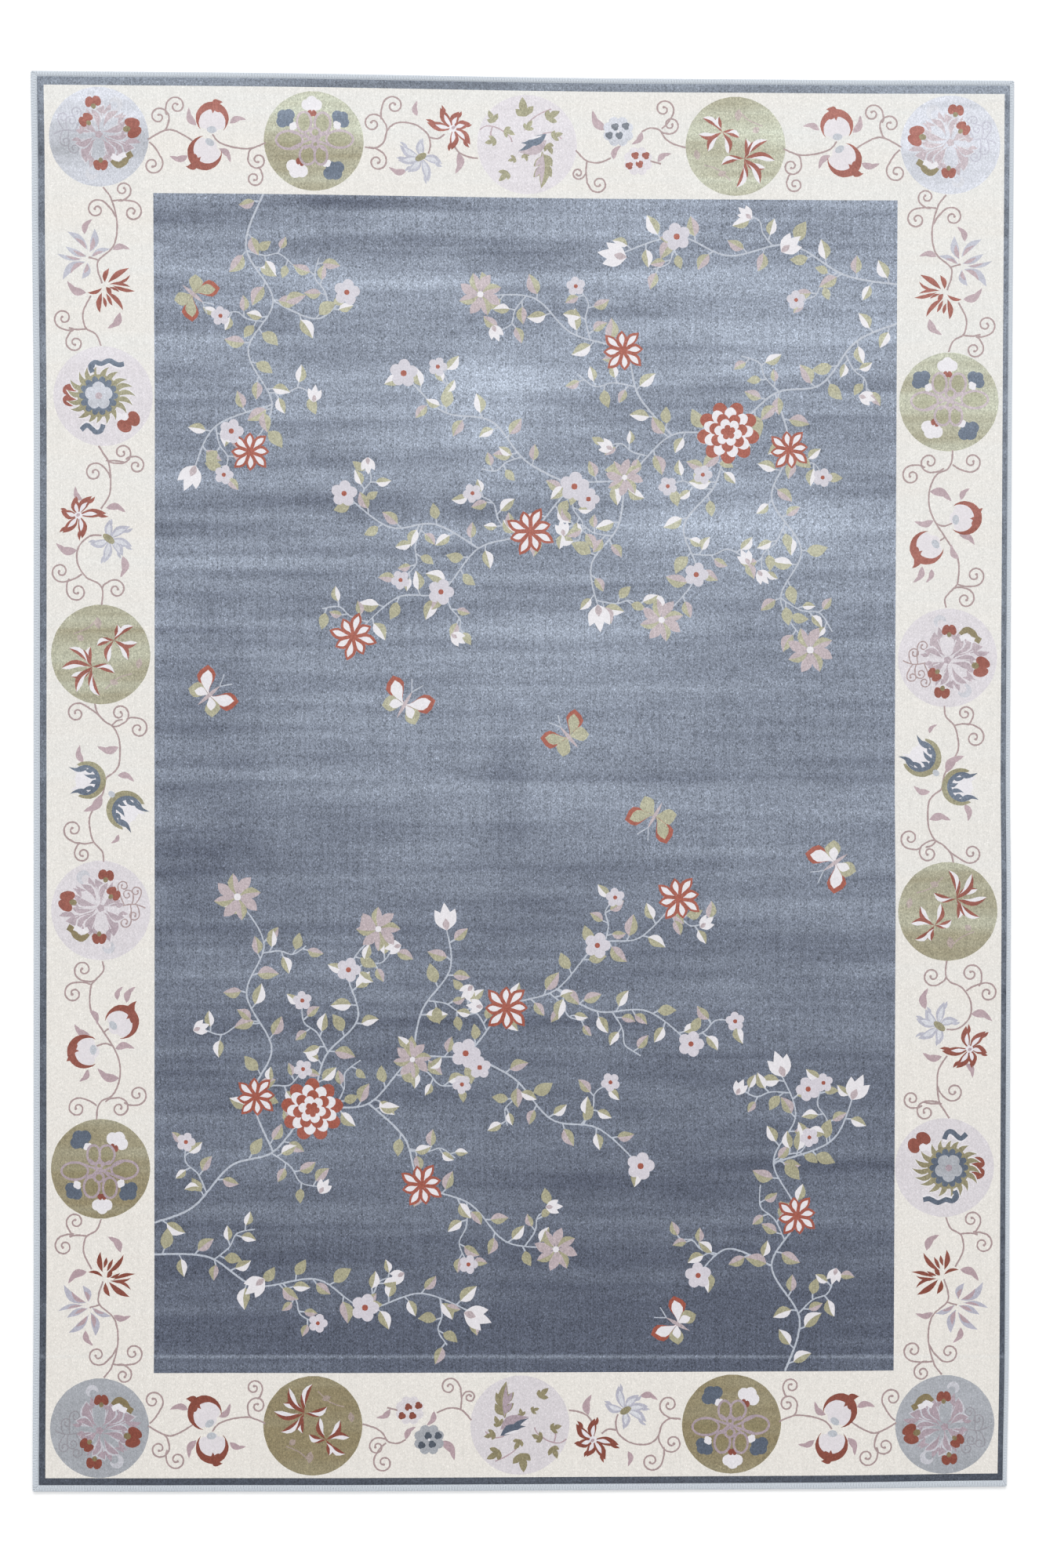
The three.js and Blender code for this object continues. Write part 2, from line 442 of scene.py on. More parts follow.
def knot_disc():
    """An endless knot of loops between three-lobed flowers."""
    shapes = [("olive", oval(0, 2 * DISC_RADIUS, steps=60))]
    flowers = [
        ("navy", -34 + 27j, 27, 135), ("navy", 33 + 27j, 25, 45), ("navy", 24 - 35j, 29, -55),
        ("white", -2 + 44j, 26, 90), ("white", -20 - 33j, 29, -120),
        ("white", -25 + 18j, 12, 150), ("white", 29 + 20j, 12, 30), ("white", 16 - 27j, 12, -60),
    ]
    for yarn, centre, width, turn in flowers:
        for swing in (-70, 0, 70):
            shapes.append((yarn, oval(centre + polar(width * 0.24, turn + swing), width * 0.56)))
        shapes.append((yarn, oval(centre - polar(width * 0.1, turn), width * 0.5)))
    shapes += bud(-2 + 35.5j, 12, 9, 90, "red", None)
    shapes += bud(-17 - 27j, 12, 9, -115, "red", None)
    loops = [
        (-31 + 1j, 17, 11.5), (33 + 3j, 17, 11), (-12 + 24j, 9, 13), (11.5 + 23.4j, 10, 13),
        (-8 - 18j, 10, 12), (9 - 18j, 8, 12),
    ]
    for centre, half_width, half_height in loops:
        shapes += loop_line(centre, half_width, half_height)
    for path in ([-30 + 12j, 0 + 2j, 28 - 8j], [-30 - 10j, 0 + 4j, 30 + 14j], [-14 + 12j, 2 - 2j, 14 - 12j],
                 [14 + 12j, 0 - 2j, -12 - 10j]):
        shapes += vine(path, "pink", 2.8)
    shapes += loop_line(2 + 11j, 6, 6)
    shapes += loop_line(2 - 4j, 4, 4)
    return shapes


def sprigs_disc():
    """Sprigs of lobed leaves round a feather-like flower."""
    shapes = [("lilac_ground", oval(0, 2 * DISC_RADIUS, steps=60))]
    shapes += vine([-60 + 18j, -51 + 23j, -36 + 20j, -22 + 10j, -19 + 3j], "mauve", 1.6)
    shapes += vine([-3 + 18j, 4 + 30j, 16 + 39j, 31 + 46j], "mauve", 1.6)
    shapes += vine([-44 + 22j, -46 + 12j, -40 + 4j], "mauve", 1.6)
    shapes += vine([20 + 14j, 34 + 16j, 44 + 8j], "mauve", 1.6)
    rows = [
        (-44 + 35j, 17, 120), (-3 + 47j, 25, 100), (33 + 37j, 20, 35), (3 + 24j, 15, 60), (-23 + 15j, 15, -20),
        (-46 + 4j, 15, 200), (38 + 12j, 15, 20), (28 - 5j, 15, -60), (-2 - 16j, 11, -70), (-19 - 19j, 11, 200),
        (-30 - 40j, 17, 230),
    ]
    for centre, length, turn in rows:
        shapes += sprig_leaf(centre, length, turn)
    shapes.append(("pink", blade(-12 - 10j, 25 + 6j, 15, -0.12, 0.6)))
    shapes.append(("navy", blade(-8 + 2j, 25 + 14j, 12, -0.12, 0.6)))
    shapes.append(("navy", blade(-12 - 9j, 12 + 10j, 7, -0.1, 0.6)))
    shapes.append(("white", blade(0 + 6j, 20 + 12j, 3)))
    for base, tip, width in ((19 - 8j, 18 - 56j, 15), (20 - 12j, 32 - 28j, 9), (19 - 22j, 31 - 42j, 9),
                             (20 - 14j, 8 - 28j, 9), (19 - 24j, 8 - 42j, 9)):
        shapes.append(("olive_leaf", blade(base, tip, width, 0.08, 0.5)))
    shapes.append(("pink", blade(20 - 10j, 18 - 52j, 13, 0.08, 0.5, half=-1)))
    shapes.append(("pink", blade(20 - 14j, 10 - 29j, 6)))
    shapes.append(("pink", blade(19 - 24j, 10 - 42j, 6)))
    return shapes


def spiky_disc():
    """Two flowers of narrow red and white petals."""
    shapes = [("olive", oval(0, 2 * DISC_RADIUS, steps=60))]
    shapes += vine([-40 - 24j, -22 - 30j, -6 - 44j], "pink_faint", 1.6)
    shapes += vine([4 + 46j, 16 + 34j, 34 + 26j], "pink_faint", 1.6)
    leaves = [(3.5 + 40j, 16, 9, 80), (26 + 21j, 10, 8, 40), (-49 - 11j, 14, 8, 100), (-17 - 35j, 12, 8, 20)]
    for centre, length, width, turn in leaves:
        half = polar(length / 2, turn)
        shapes.append(("pink_faint", blade(centre - half, centre + half, width)))
    first = [-42 + 36j, -21 + 38j, -47 + 15j, -35 - 7j, -9 - 10j, 5 + 11j]
    second = [13 + 10j, 41 + 8j, 50 - 18j, 38 - 28j, 31 - 48j, 1 - 53j, -18 - 24j]
    shapes += star(-17 + 18j, first, 9, "red", "white", 0.15)
    shapes += star(11 - 16j, second, 9.5, "red", "white", 0.15)
    return shapes


def lotus_disc():
    """A round flower in a ring of curved leaves, with two dark clouds and two buds."""
    heart = -5.6 + 0.5j
    shapes = [("lilac_ground", oval(0, 2 * DISC_RADIUS, steps=60))]
    shapes.append(("white", oval(20 - 26j, 16, 10, -30)))
    shapes += bud(-43 + 1j, 28, 18, 180, "red", "white")
    shapes += bud(33 - 33j, 30, 20, -52, "red", "white")
    tips = [
        42 + 0j, 38 + 12j, 31 + 21j, 20 + 31j, 8 + 37j, -8 + 38j, -20 + 37j, -30 + 31j, -42 + 21j, -46 + 8j,
        -46 - 6j, -42 - 17j, -32 - 28j, -20 - 34j, -9 - 35j, 4 - 36j, 16 - 31j, 30 - 22j, 38 - 12j,
    ]
    for yarn, reach, width, belly in (("white", 1.03, 8.5, 0.45), ("olive_leaf", 1, 7, 0.4)):
        for tip in tips:
            root = heart + (tip - heart) * 0.45
            shapes.append((yarn, blade(root, tip * reach, width, 0.2, belly)))
    shapes.append(("olive_leaf", oval(heart, 54)))
    shapes.append(("navy", lobed(heart, 25, 14, 0.22)))
    shapes.append(("pale_blue", lobed(heart, 18, 5, 0.25, 90)))
    shapes.append(("pink", oval(heart, 9)))
    for path in ([27 + 41j, 19 + 40j, 8 + 45j, -2 + 41j, -10 + 43j, -16 + 38j, -13 + 30j],
                 [0 - 36j, -3 - 44j, -9 - 46j, -15 - 41j, -21 - 37j, -28 - 43j]):
        shapes += vine([point - 3j * point.imag / abs(point.imag) for point in path], "white", 5)
        shapes += vine(path, "navy", 6.2)
    shapes.append(("navy", oval(-14 + 39j, 8, 8)))
    return shapes


# The stretches of scroll between the roundels

def scroll(vines, curls, leaves):
    """Vines, tendrils and leaves. Curls are start, centre and way, and leaves are base and tip."""
    shapes = []
    for points in vines:
        shapes += vine(points)
    for start, centre, way in curls:
        shapes += curl(start, centre, way)
    for base, tip in leaves:
        shapes += leaf(base, tip)
    return shapes


def stretch_pods():
    shapes = scroll(
        vines=[[-75 + 0j, -54.6 + 11j, -42.5 + 12j, -26.8 + 4.5j, -16 - 3j],
               [7.4 + 7.3j, 14.8 - 2j, 31.4 - 8.5j, 51.8 - 10.9j, 64.7 - 7.5j, 75 - 2.9j]],
        curls=[(-54.6 + 11j, -60.5 + 29j, 1), (-50 + 31j, -38 + 43j, -1), (-73 - 3j, -69 - 32j, -1),
               (57.3 - 10.3j, 64.7 - 25.1j, 1), (64.7 - 34.3j, 60.1 - 48.2j, -1)],
        leaves=[(-13 + 18.4j, -24 + 37j), (29.6 + 21j, 47 + 28.5j), (-24 - 20.5j, -44.4 - 24j),
                (15.7 - 11j, 30.5 - 24j)],
    )
    shapes += pod(-2.8 - 16.8j, 22, 50, -27 - 34j, 3.7 - 2.8j)
    shapes += pod(7.4 + 27.6j, 21, -92, 21 + 48j, 6.5 + 13j)
    return shapes


def stretch_lilies():
    shapes = scroll(
        vines=[[-71 - 6.7j, -57.5 - 7.6j, -47 + 0.2j, -42.8 + 14j, -35 + 22.6j, -23 + 25.7j, -5.8 + 22.6j,
                8 + 12.2j, 12.3 - 1.5j, 9.7 - 13.6j],
               [11.4 + 7j, 21.8 + 5.7j, 30.4 + 11.4j], [42.4 - 3.3j, 49.3 - 12j, 61 - 17j, 72.5 - 18.6j]],
        curls=[(-42.8 + 14j, -60.6 + 23.4j, 1), (-49.7 + 29j, -34 + 46.7j, -1), (-66 - 7j, -55.7 - 24.8j, -1)],
        leaves=[(-4 + 34j, -6.7 + 51j), (47.6 - 12j, 47.6 - 36j), (-18 - 36j, -38.5 - 35j)],
    )
    shapes += lily(1 - 18.8j, [-0.6 + 4.5j, -27 - 3.3j, -29 - 23j, -17 - 37.7j, 9.7 - 49.8j, 27 - 26.5j],
                   11, "lilac_petal", "pale_blue_petal", 0.8, 0.5)
    shapes.append(("olive_leaf", oval(0 - 18j, 16, 9, 30)))
    shapes += lily(40.7 + 19j, [25 + 45j, 49 + 40.6j, 8 + 26j, 39 - 8.4j, 63 + 26j, 63 - 1.4j],
                   11.5, "red", "white", 0.68, 0.44)
    shapes.append(("white", lobed(40.7 + 19j, 5, 5, 0.25)))
    shapes.append(("mauve", oval(41.5 + 20j, 5, 4, 40)))
    return shapes


def stretch_blossoms():
    shapes = scroll(
        vines=[[-71 - 6.6j, -58 - 19.5j, -42 - 22j, -26.4 - 16j], [-57 - 21j, -58 - 34j, -56.5 - 47j],
               [13 + 18j, 23.6 + 22.6j, 35.6 + 20j, 42.5 + 9.7j, 52.5 + 2.8j, 68.5 - 2j],
               [23.6 - 19.5j, 37.4 - 23j]],
        curls=[(-58 - 32j, -68 - 36j, -1), (-56.5 - 42j, -42 - 49j, 1), (35.6 + 20j, 49.4 + 27j, 1),
               (38 + 22j, 40.8 + 47j, 1)],
        leaves=[(-23 - 18j, -17 - 0.6j), (-31.5 + 20j, -50.5 + 39j), (13 + 18j, 4 + 2j), (33 - 21j, 47 - 9j)],
    )
    shapes += blossom(8 - 19.5j, 19, "lilac_ground", "red", [-3.5 + 7j, 10 + 7j, -11 - 6j, 2 - 4j])
    shapes += blossom(-17 + 18j, 20, "pale_blue", "navy_dark", [-4 + 6j, 9.5 + 7j, -11.5 - 5j, 1.4 - 5j])
    return shapes


def stretch_spiky():
    shapes = scroll(
        vines=[[5 + 101j, 14 + 89.5j, 16 + 83.5j, 19.6 + 73.7j, 22.6 + 55.6j, 21.4 + 37.4j, 15.3 + 22.8j,
                -1 + 8.3j, -2.2 - 5j, 3.2 - 21.4j],
               [-1 + 8.3j, -14 + 12j],
               [-11.3 - 36.6j, -21 - 56j, -21.6 - 68j, -17.4 - 79j, -5.3 - 86.3j, 0.8 - 100.5j],
               [-17.4 - 79j, -30 - 80j, -40 - 78j]],
        curls=[(21 + 63j, -3.4 + 72.5j, 1), (16 + 83.5j, 42 + 69.5j, -1), (24 + 84j, 30 + 98j, 1),
               (-36 - 80j, -46.5 - 65.7j, -1), (-34 - 81j, -32 - 97j, 1)],
        leaves=[(-19 + 41j, -13 + 59j), (16.6 + 21.6j, 36 + 25.3j), (-17.4 - 33.5j, -40.4 - 23.8j),
                (25.7 - 58j, 14 - 78j)],
    )
    shapes += spray([
        (-15 + 21j, -40.5 + 44j, 9, -0.1), (-12.4 + 18j, -6 + 48j, 10.5, -0.1), (-11 + 12j, 14 + 22.6j, 7, 0.1),
        (-16 + 12.6j, -43 + 25j, 8, 0.05), (-22 + 9.5j, -54 + 16.4j, 6, 0.08),
        (-18 + 6j, -47 - 17j, 10.5, -0.16), (-15.5 + 5j, -23 - 16j, 9, 0.14),
    ], "lilac_petal", "mauve")
    shapes += spray([
        (6.3 - 20j, 12 - 2j, 6.5, 0.12), (10.5 - 20.5j, 37.5 - 1.5j, 7.5, 0.06),
        (19 - 20.5j, 39 - 10j, 4, -0.15), (12 - 22.4j, 39 - 26j, 4.2, 0.1),
        (16 - 23.6j, 45 - 31j, 5, -0.06), (8 - 26j, 15 - 34j, 6, 0),
        (12 - 26j, 25 - 32j, 3.6, 0.08), (8.5 - 32j, 29.5 - 55.5j, 6, 0.1), (8 - 34j, 16 - 50j, 4.6, 0),
        (2.6 - 33j, 0 - 59j, 7, -0.1), (4 - 38j, 7.5 - 52j, 4.6, 0.05), (3 - 27j, -16 - 33j, 4.6, 0.14),
    ], "red")
    return shapes


def stretch_lilies_upright():
    shapes = scroll(
        vines=[[-3 + 101j, 4 + 90j, 9.5 + 81j, 12.3 + 61.6j, 11 + 39j, 0 + 21j],
               [1 - 12.7j, -14.4 - 14j, -28.4 - 28j, -29.8 - 48j, -18.6 - 66j, -3 - 74j, 2.5 - 84j, 1 - 101j]],
        curls=[(6.7 + 82.7j, 27 + 92.5j, 1), (32 + 84j, 45 + 76j, -1), (12 + 60j, -8.2 + 66.7j, 1),
               (-24 - 62j, -51 - 59j, -1), (-40 - 68j, -30 - 84j, 1), (2 - 80j, 19.3 - 81.5j, -1)],
        leaves=[(-24 + 31j, -34 + 46j), (6.7 + 22j, 29 + 21j), (-30 - 32j, -55 - 28j), (28 - 39j, 29 - 63j)],
    )
    shapes += vine([9 + 82j, 20 + 82j, 30 + 80j])
    shapes += lily(11 - 18j, [11 + 7j, 37.5 - 1.5j, 40 - 27j, 28 - 39j, 4 - 48j, -14 - 24j],
                   11, "lilac_petal", "pale_blue_petal", 0.8, 0.5)
    shapes.append(("olive_leaf", oval(10 - 17j, 18, 9, -38)))
    shapes += lily(-28.4 + 12.5j, [-34 + 35j, -11.6 + 37j, 7 + 15j, -24 - 17j, -49 - 10j, -51 + 18j],
                   11.5, "red", "white", 0.68, 0.44)
    shapes.append(("white", lobed(-28.4 + 12.5j, 5, 5, 0.25)))
    shapes.append(("mauve", oval(-29 + 13j, 5, 4, 40)))
    return shapes


def stretch_husks():
    shapes = scroll(
        vines=[[-7.4 + 100j, -4.5 + 89j, 4.7 + 78j, 16.8 + 69.6j, 24 + 52.6j, 24 + 26j, 18 + 14j, 7 + 5.4j,
                4.7 - 5.5j, 1 - 17.6j, -13.5 - 42j, -13.5 - 61j, -8.7 - 76j, 2 - 88j, 3.5 - 101j],
               [-8.7 - 76j, -20 - 78j, -28 - 77j]],
        curls=[(4 + 79j, -30.5 + 87.7j, 1), (14.4 + 71.5j, 24 + 87.7j, 1), (33.7 + 80.5j, 47.8 + 68.3j, -1),
               (-26 - 77j, -35 - 60j, -1), (-26 - 77j, -23 - 91j, 1)],
        leaves=[(23 + 45j, -1 + 42j), (21.6 + 9j, 41 + 5j), (-22 + 25j, -29 + 44j), (1 - 15j, -16 - 37j),
                (23 - 66j, 15.6 - 77j)],
    )
    shapes += vine([14 + 72j, 20 + 78j, 28 + 80j])
    shapes += husk(-17 + 3j, 24, 182)
    shapes += husk(32 - 35j, 25, -40)
    shapes.append(("blue_spot", oval(14 - 15j, 8, 10, 45)))
    return shapes


def stretch_pods_upright():
    shapes = scroll(
        vines=[[2 + 99.6j, 3.5 + 87.5j, -7.4 + 75j, -12.7 + 66j, -12.7 + 38j, 3.5 + 10j, 16.5 - 10j, 24 - 29j,
                24 - 51j, 15.4 - 70.5j, 1.3 - 78j, -4 - 88j, -5 - 102j],
               [4 + 9j, 9 + 13j, 15 + 15j], [15 - 8j, 6 - 5j, -4 - 8j, -9 - 12j]],
        curls=[(-7 + 75j, -22 + 88.7j, -1), (-12.7 + 70j, -34.4 + 58.4j, 1), (-5 - 84j, -29.4 - 87.4j, 1),
               (6 - 79j, 24 - 87j, -1), (30 - 80j, 47 - 69.5j, 1)],
        leaves=[(-14 + 37j, -3 + 22j), (21 + 50j, 25 + 66j), (33 + 46.5j, 40 + 66j), (-14 + 6j, -33 + 15j),
                (-16 - 38j, -24 - 53j), (18.7 - 12j, 40 - 8j), (24 - 49j, -2 - 42j)],
    )
    shapes += pod(27.4 + 22.7j, 21.7, 220, 46 + 49j, 16 + 18j)
    shapes += pod(-21.4 - 15.3j, 21.7, 0, -44 - 28j, -9.5 - 13j)
    return shapes


def border_shapes():
    """Half of the border. The other half is the same, turned half round the pattern's centre."""
    pale = swirl_disc("pale_blue", "pink", "highlight", "scroll_dark")
    lilac = swirl_disc("lilac_ground", "pink", "lilac_ground", "stem")
    spiky = spiky_disc()
    half = placed(pale, -541 + 820j, flip_y=True)
    half += placed(pale, 541 + 820j, turn=180)
    half += placed(knot_disc(), -268 + 817j)
    half += placed(sprigs_disc(), 3 + 817j)
    half += placed(spiky, 268 + 817j)
    half += placed(lotus_disc(), -538 + 490.6j)
    half += placed(spiky, -541 + 162.5j, flip_x=True)
    half += placed(lilac, -541 - 162.5j, turn=180)
    half += placed(knot_disc(), -541 - 490.6j, turn=180)
    pods = stretch_pods()
    spikes = stretch_spiky()
    half += placed(pods, -404 + 817j)
    half += placed(stretch_lilies(), -132 + 817j)
    half += placed(stretch_blossoms(), 136 + 817j)
    half += placed(pods, 404 + 817j, flip_x=True)
    half += placed(spikes, -541 + 655j)
    half += placed(stretch_lilies_upright(), -541 + 326.5j)
    half += placed(stretch_husks(), -541 + 0j)
    half += placed(stretch_pods_upright(), -541 - 326.5j)
    half += placed(spikes, -541 - 655j, flip_y=True)
    return placed(half, PATTERN_CENTRE) + placed(half, PATTERN_CENTRE, turn=180)


# The field: a generic design of flowering branches, daisies, blossoms and butterflies

def daisy(centre, radius, turn):
    petals = 8
    shapes = []
    for i in range(petals):
        reach = radius * (1.12 if i % 2 else 0.94)
        tip = centre + polar(reach, turn + 360 * i / petals)
        shapes.append(("field_red", blade(centre, tip, radius * 0.5, 0.05, 0.6)))
        near = lerp(centre, tip, 0.2)
        far = lerp(centre, tip, 0.86)
        shapes.append(("white", blade(near, far, radius * 0.26, 0.05, 0.6)))
    shapes.append(("field_red", oval(centre, radius * 0.36)))
    return shapes


def soft_daisy(centre, radius, turn):
    tips = [centre + polar(radius, turn + 45 * i) for i in range(8)]
    shapes = [("field_pink", blade(centre, tip, radius * 0.46, 0.08, 0.6)) for tip in tips]
    shapes += [("sage", blade(centre, tip, radius * 0.46, 0.08, 0.6, half=1)) for tip in tips[::2]]
    shapes.append(("white", oval(centre, radius * 0.3)))
    return shapes


def round_blossom(centre, radius, turn):
    shapes = [("lilac", oval(centre + polar(radius * 0.55, turn + 72 * i), radius * 0.82)) for i in range(5)]
    shapes.append(("lilac", oval(centre, radius * 0.8)))
    shapes.append(("field_red", oval(centre, radius * 0.42)))
    return shapes


def peony(centre, radius, turn):
    rings = [("field_red", 1.0, 9), ("white", 0.8, 9), ("field_red", 0.62, 7), ("white", 0.44, 6),
             ("field_red", 0.24, 5)]
    return [(yarn, lobed(centre, radius * reach, count, 0.3, turn + 13 * i))
            for i, (yarn, reach, count) in enumerate(rings)]


def tulip(centre, radius, turn):
    base = centre - polar(radius * 0.7, turn)
    shapes = []
    for swing, reach in ((-26, 1.35), (26, 1.35), (0, 1.6)):
        shapes.append(("white", blade(base, base + polar(radius * reach, turn + swing), radius * 0.62)))
    shapes.append(("field_pink", blade(base, base + polar(radius * 0.7, turn), radius * 0.4)))
    return shapes


def butterfly(centre, radius, turn, wing):
    shapes = []
    for side in (-1, 1):
        fore = centre + polar(radius, turn + side * 52)
        hind = centre + polar(radius * 0.72, turn + side * 122)
        shapes.append(("field_red", blade(centre, fore, radius * 0.62, 0.08 * side, 0.66)))
        shapes.append((wing, blade(centre, lerp(centre, fore, 0.84), radius * 0.4, 0.08 * side, 0.66)))
        shapes.append(("sage", blade(centre, hind, radius * 0.52, -0.08 * side, 0.62)))
        shapes.append((wing, blade(centre, lerp(centre, hind, 0.7), radius * 0.3, -0.08 * side, 0.62)))
    body = polar(radius * 0.5, turn)
    shapes.append(("field_pink", blade(centre - body, centre + body, 5)))
    for swing in (-14, 14):
        feeler = [centre + polar(radius * 0.45, turn), centre + polar(radius * 0.85, turn + swing)]
        shapes += vine(feeler, "field_stem", 1.4)
    return shapes


# The yarns of a leaf and of its folded half, from which each leaf takes one pair
LEAF_YARNS = (
    ("sage", "white"), ("sage", None), ("field_pink", "sage"), ("white", "sage"), ("sage", "field_pink"),
)


def twig(path, rng, spacing=25, leaf_length=25, skip=0.12, width=2.6, end_width=1.8):
    """A stem with paired leaves on short stalks. Each leaf is one of three yarns."""
    line = spline(path)
    stems = [("field_stem", ribbon(line, width, end_width))]
    leaves = []
    walked = spacing * 0.6
    side = rng.choice((-1, 1))
    for before, after in zip(line, line[1:]):
        walked += abs(after - before)
        if walked < spacing:
            continue
        walked = rng.uniform(0, spacing * 0.3)
        if rng.random() < skip:
            continue
        side = -side
        along = (after - before) / abs(after - before)
        out = along * polar(1, side * rng.uniform(48, 74))
        base = after + out * 7
        stems.append(("field_stem", ribbon([after, base + out], 2)))
        length = leaf_length * rng.uniform(0.8, 1.15)
        yarn, fold = rng.choice(LEAF_YARNS)
        tip = base + out * polar(length, side * rng.uniform(-24, 24))
        bend = rng.uniform(-0.1, 0.1)
        leaves.append((yarn, blade(base, tip, length * 0.6, bend, 0.42)))
        if fold:
            leaves.append((fold, blade(base, tip, length * 0.6, bend, 0.42, half=side)))
    return stems, leaves


# How much larger the field's flowers and butterflies are drawn than their tables say
FLOWER_SIZE = 1.18

# The branches of the field, each from its root to its tip
FIELD_STEMS = [
    # From the left side, low: the long branch that climbs to the middle
    [-470 - 560j, -420 - 540j, -372 - 488j, -318 - 470j, -268 - 418j, -196 - 408j, -140 - 352j, -72 - 344j,
     -20 - 286j, 44 - 262j, 96 - 206j, 150 - 196j, 196 - 150j],
    [-470 - 600j, -400 - 604j, -340 - 640j, -262 - 632j, -200 - 668j, -128 - 650j, -60 - 676j],
    [-318 - 470j, -344 - 400j, -320 - 338j, -352 - 270j, -330 - 206j, -362 - 150j],
    [-268 - 418j, -252 - 350j, -210 - 300j, -222 - 238j, -186 - 190j],
    [-196 - 408j, -150 - 452j, -128 - 510j, -66 - 536j, -20 - 584j, 40 - 592j],
    [-72 - 344j, -10 - 376j, 38 - 428j, 98 - 440j, 150 - 486j],
    [-140 - 352j, -128 - 290j, -92 - 236j, -98 - 180j],
    [44 - 262j, 96 - 290j, 160 - 290j, 214 - 330j],
    # From the right side, high: the long branch that falls to the middle
    [477 + 590j, 424 + 566j, 380 + 512j, 322 + 500j, 262 + 452j, 190 + 446j, 130 + 392j, 66 + 380j, 10 + 322j,
     -56 + 300j, -104 + 244j, -160 + 236j, -212 + 190j],
    [477 + 640j, 410 + 652j, 340 + 690j, 262 + 676j, 196 + 700j, 120 + 676j],
    [322 + 500j, 340 + 430j, 318 + 366j, 356 + 300j, 330 + 236j, 366 + 176j],
    [262 + 452j, 246 + 384j, 206 + 330j, 222 + 268j, 180 + 214j],
    [190 + 446j, 148 + 496j, 128 + 552j, 62 + 576j, 14 + 620j, -50 + 622j],
    [66 + 380j, 4 + 412j, -40 + 462j, -102 + 474j, -150 + 520j],
    [130 + 392j, 122 + 330j, 88 + 280j, 98 + 222j],
    [-56 + 300j, -112 + 330j, -170 + 326j, -226 + 366j],
    # From the top, left of the middle, and from the bottom, right of it
    [-330 + 748j, -352 + 680j, -318 + 612j, -350 + 548j, -320 + 480j, -348 + 424j],
    [-318 + 612j, -262 + 590j, -224 + 622j],
    [-320 + 480j, -392 + 452j, -420 + 396j],
    [338 - 751j, 356 - 684j, 320 - 616j, 352 - 552j, 322 - 484j, 350 - 424j, 330 - 368j],
    [320 - 616j, 264 - 594j, 226 - 626j],
    [322 - 484j, 396 - 456j, 424 - 398j],
]

# Flowers on the branches: kind, place, radius and turn in degrees
FIELD_FLOWERS = [
    ("peony", -268 - 416j, 34, 10), ("peony", 262 + 450j, 34, 190),
    ("daisy", -20 - 286j, 25, 0), ("daisy", 10 + 322j, 25, 20), ("daisy", 200 - 146j, 24, 12),
    ("daisy", -216 + 186j, 24, 30), ("daisy", -340 - 400j, 22, 5), ("daisy", 340 + 428j, 22, 8),
    ("daisy", -128 - 512j, 23, 14), ("daisy", 128 + 554j, 23, 4), ("daisy", -348 + 420j, 22, 0),
    ("daisy", 352 - 552j, 22, 9),
    ("soft_daisy", -364 - 146j, 26, 10), ("soft_daisy", 368 + 172j, 26, 24), ("soft_daisy", -184 - 186j, 24, 0),
    ("soft_daisy", 178 + 210j, 24, 12), ("soft_daisy", 44 - 594j, 24, 30), ("soft_daisy", -54 + 624j, 24, 18),
    ("soft_daisy", -140 - 352j, 21, 6), ("soft_daisy", 130 + 392j, 21, 33),
    ("blossom", -72 - 344j, 17, 0), ("blossom", -54 - 362j, 13, 20), ("blossom", 66 + 380j, 17, 10),
    ("blossom", 84 + 364j, 13, 0), ("blossom", -200 - 668j, 16, 0), ("blossom", 196 + 700j, 16, 30),
    ("blossom", 152 - 488j, 16, 4), ("blossom", -152 + 522j, 16, 14), ("blossom", 96 - 206j, 15, 0),
    ("blossom", -104 + 244j, 15, 0), ("blossom", -224 + 624j, 15, 8), ("blossom", 226 - 628j, 15, 22),
    ("blossom", 216 - 332j, 15, 0), ("blossom", -228 + 368j, 15, 12), ("blossom", -222 - 238j, 14, 0),
    ("blossom", 222 + 268j, 14, 0), ("blossom", 366 - 390j, 14, 40), ("blossom", -372 + 446j, 14, 0),
    ("tulip", -58 - 680j, 20, -20), ("tulip", 116 + 676j, 20, 170), ("tulip", -98 - 172j, 19, 95),
    ("tulip", 98 + 214j, 19, -85), ("tulip", -424 + 388j, 19, 245), ("tulip", 428 - 390j, 19, 65),
    ("tulip", 330 - 360j, 19, 110), ("tulip", -340 - 640j, 17, 220), ("tulip", 340 + 690j, 17, 40),
]

# Butterflies in the free parts of the field: place, radius, turn in degrees and wing yarn
FIELD_BUTTERFLIES = [
    (-150 + 100j, 34, 60, "white"), (60 + 60j, 31, 130, "sage"), (-400 + 110j, 33, 40, "white"),
    (170 - 40j, 33, 240, "sage"), (400 - 100j, 34, 215, "white"), (-420 + 620j, 30, 320, "sage"),
    (200 - 690j, 31, 150, "white"),
]


def side_twigs(path, rng):
    """Short twigs that leave a branch by turns to each side."""
    spacing = 118
    line = spline(path)
    walked = spacing * 0.35
    side = rng.choice((-1, 1))
    found = []
    for before, after in zip(line, line[1:]):
        walked += abs(after - before)
        if walked < spacing:
            continue
        walked = rng.uniform(0, spacing * 0.25)
        side = -side
        along = (after - before) / abs(after - before)
        out = along * 1j * side
        size = rng.uniform(0.75, 1.15)
        found.append([after, after + size * (out * 24 + along * 12), after + size * (out * 46 + along * 14),
                      after + size * (out * 62 + along * 34)])
    return found


FLOWER_KINDS = {
    "peony": peony, "daisy": daisy, "soft_daisy": soft_daisy, "blossom": round_blossom, "tulip": tulip,
}


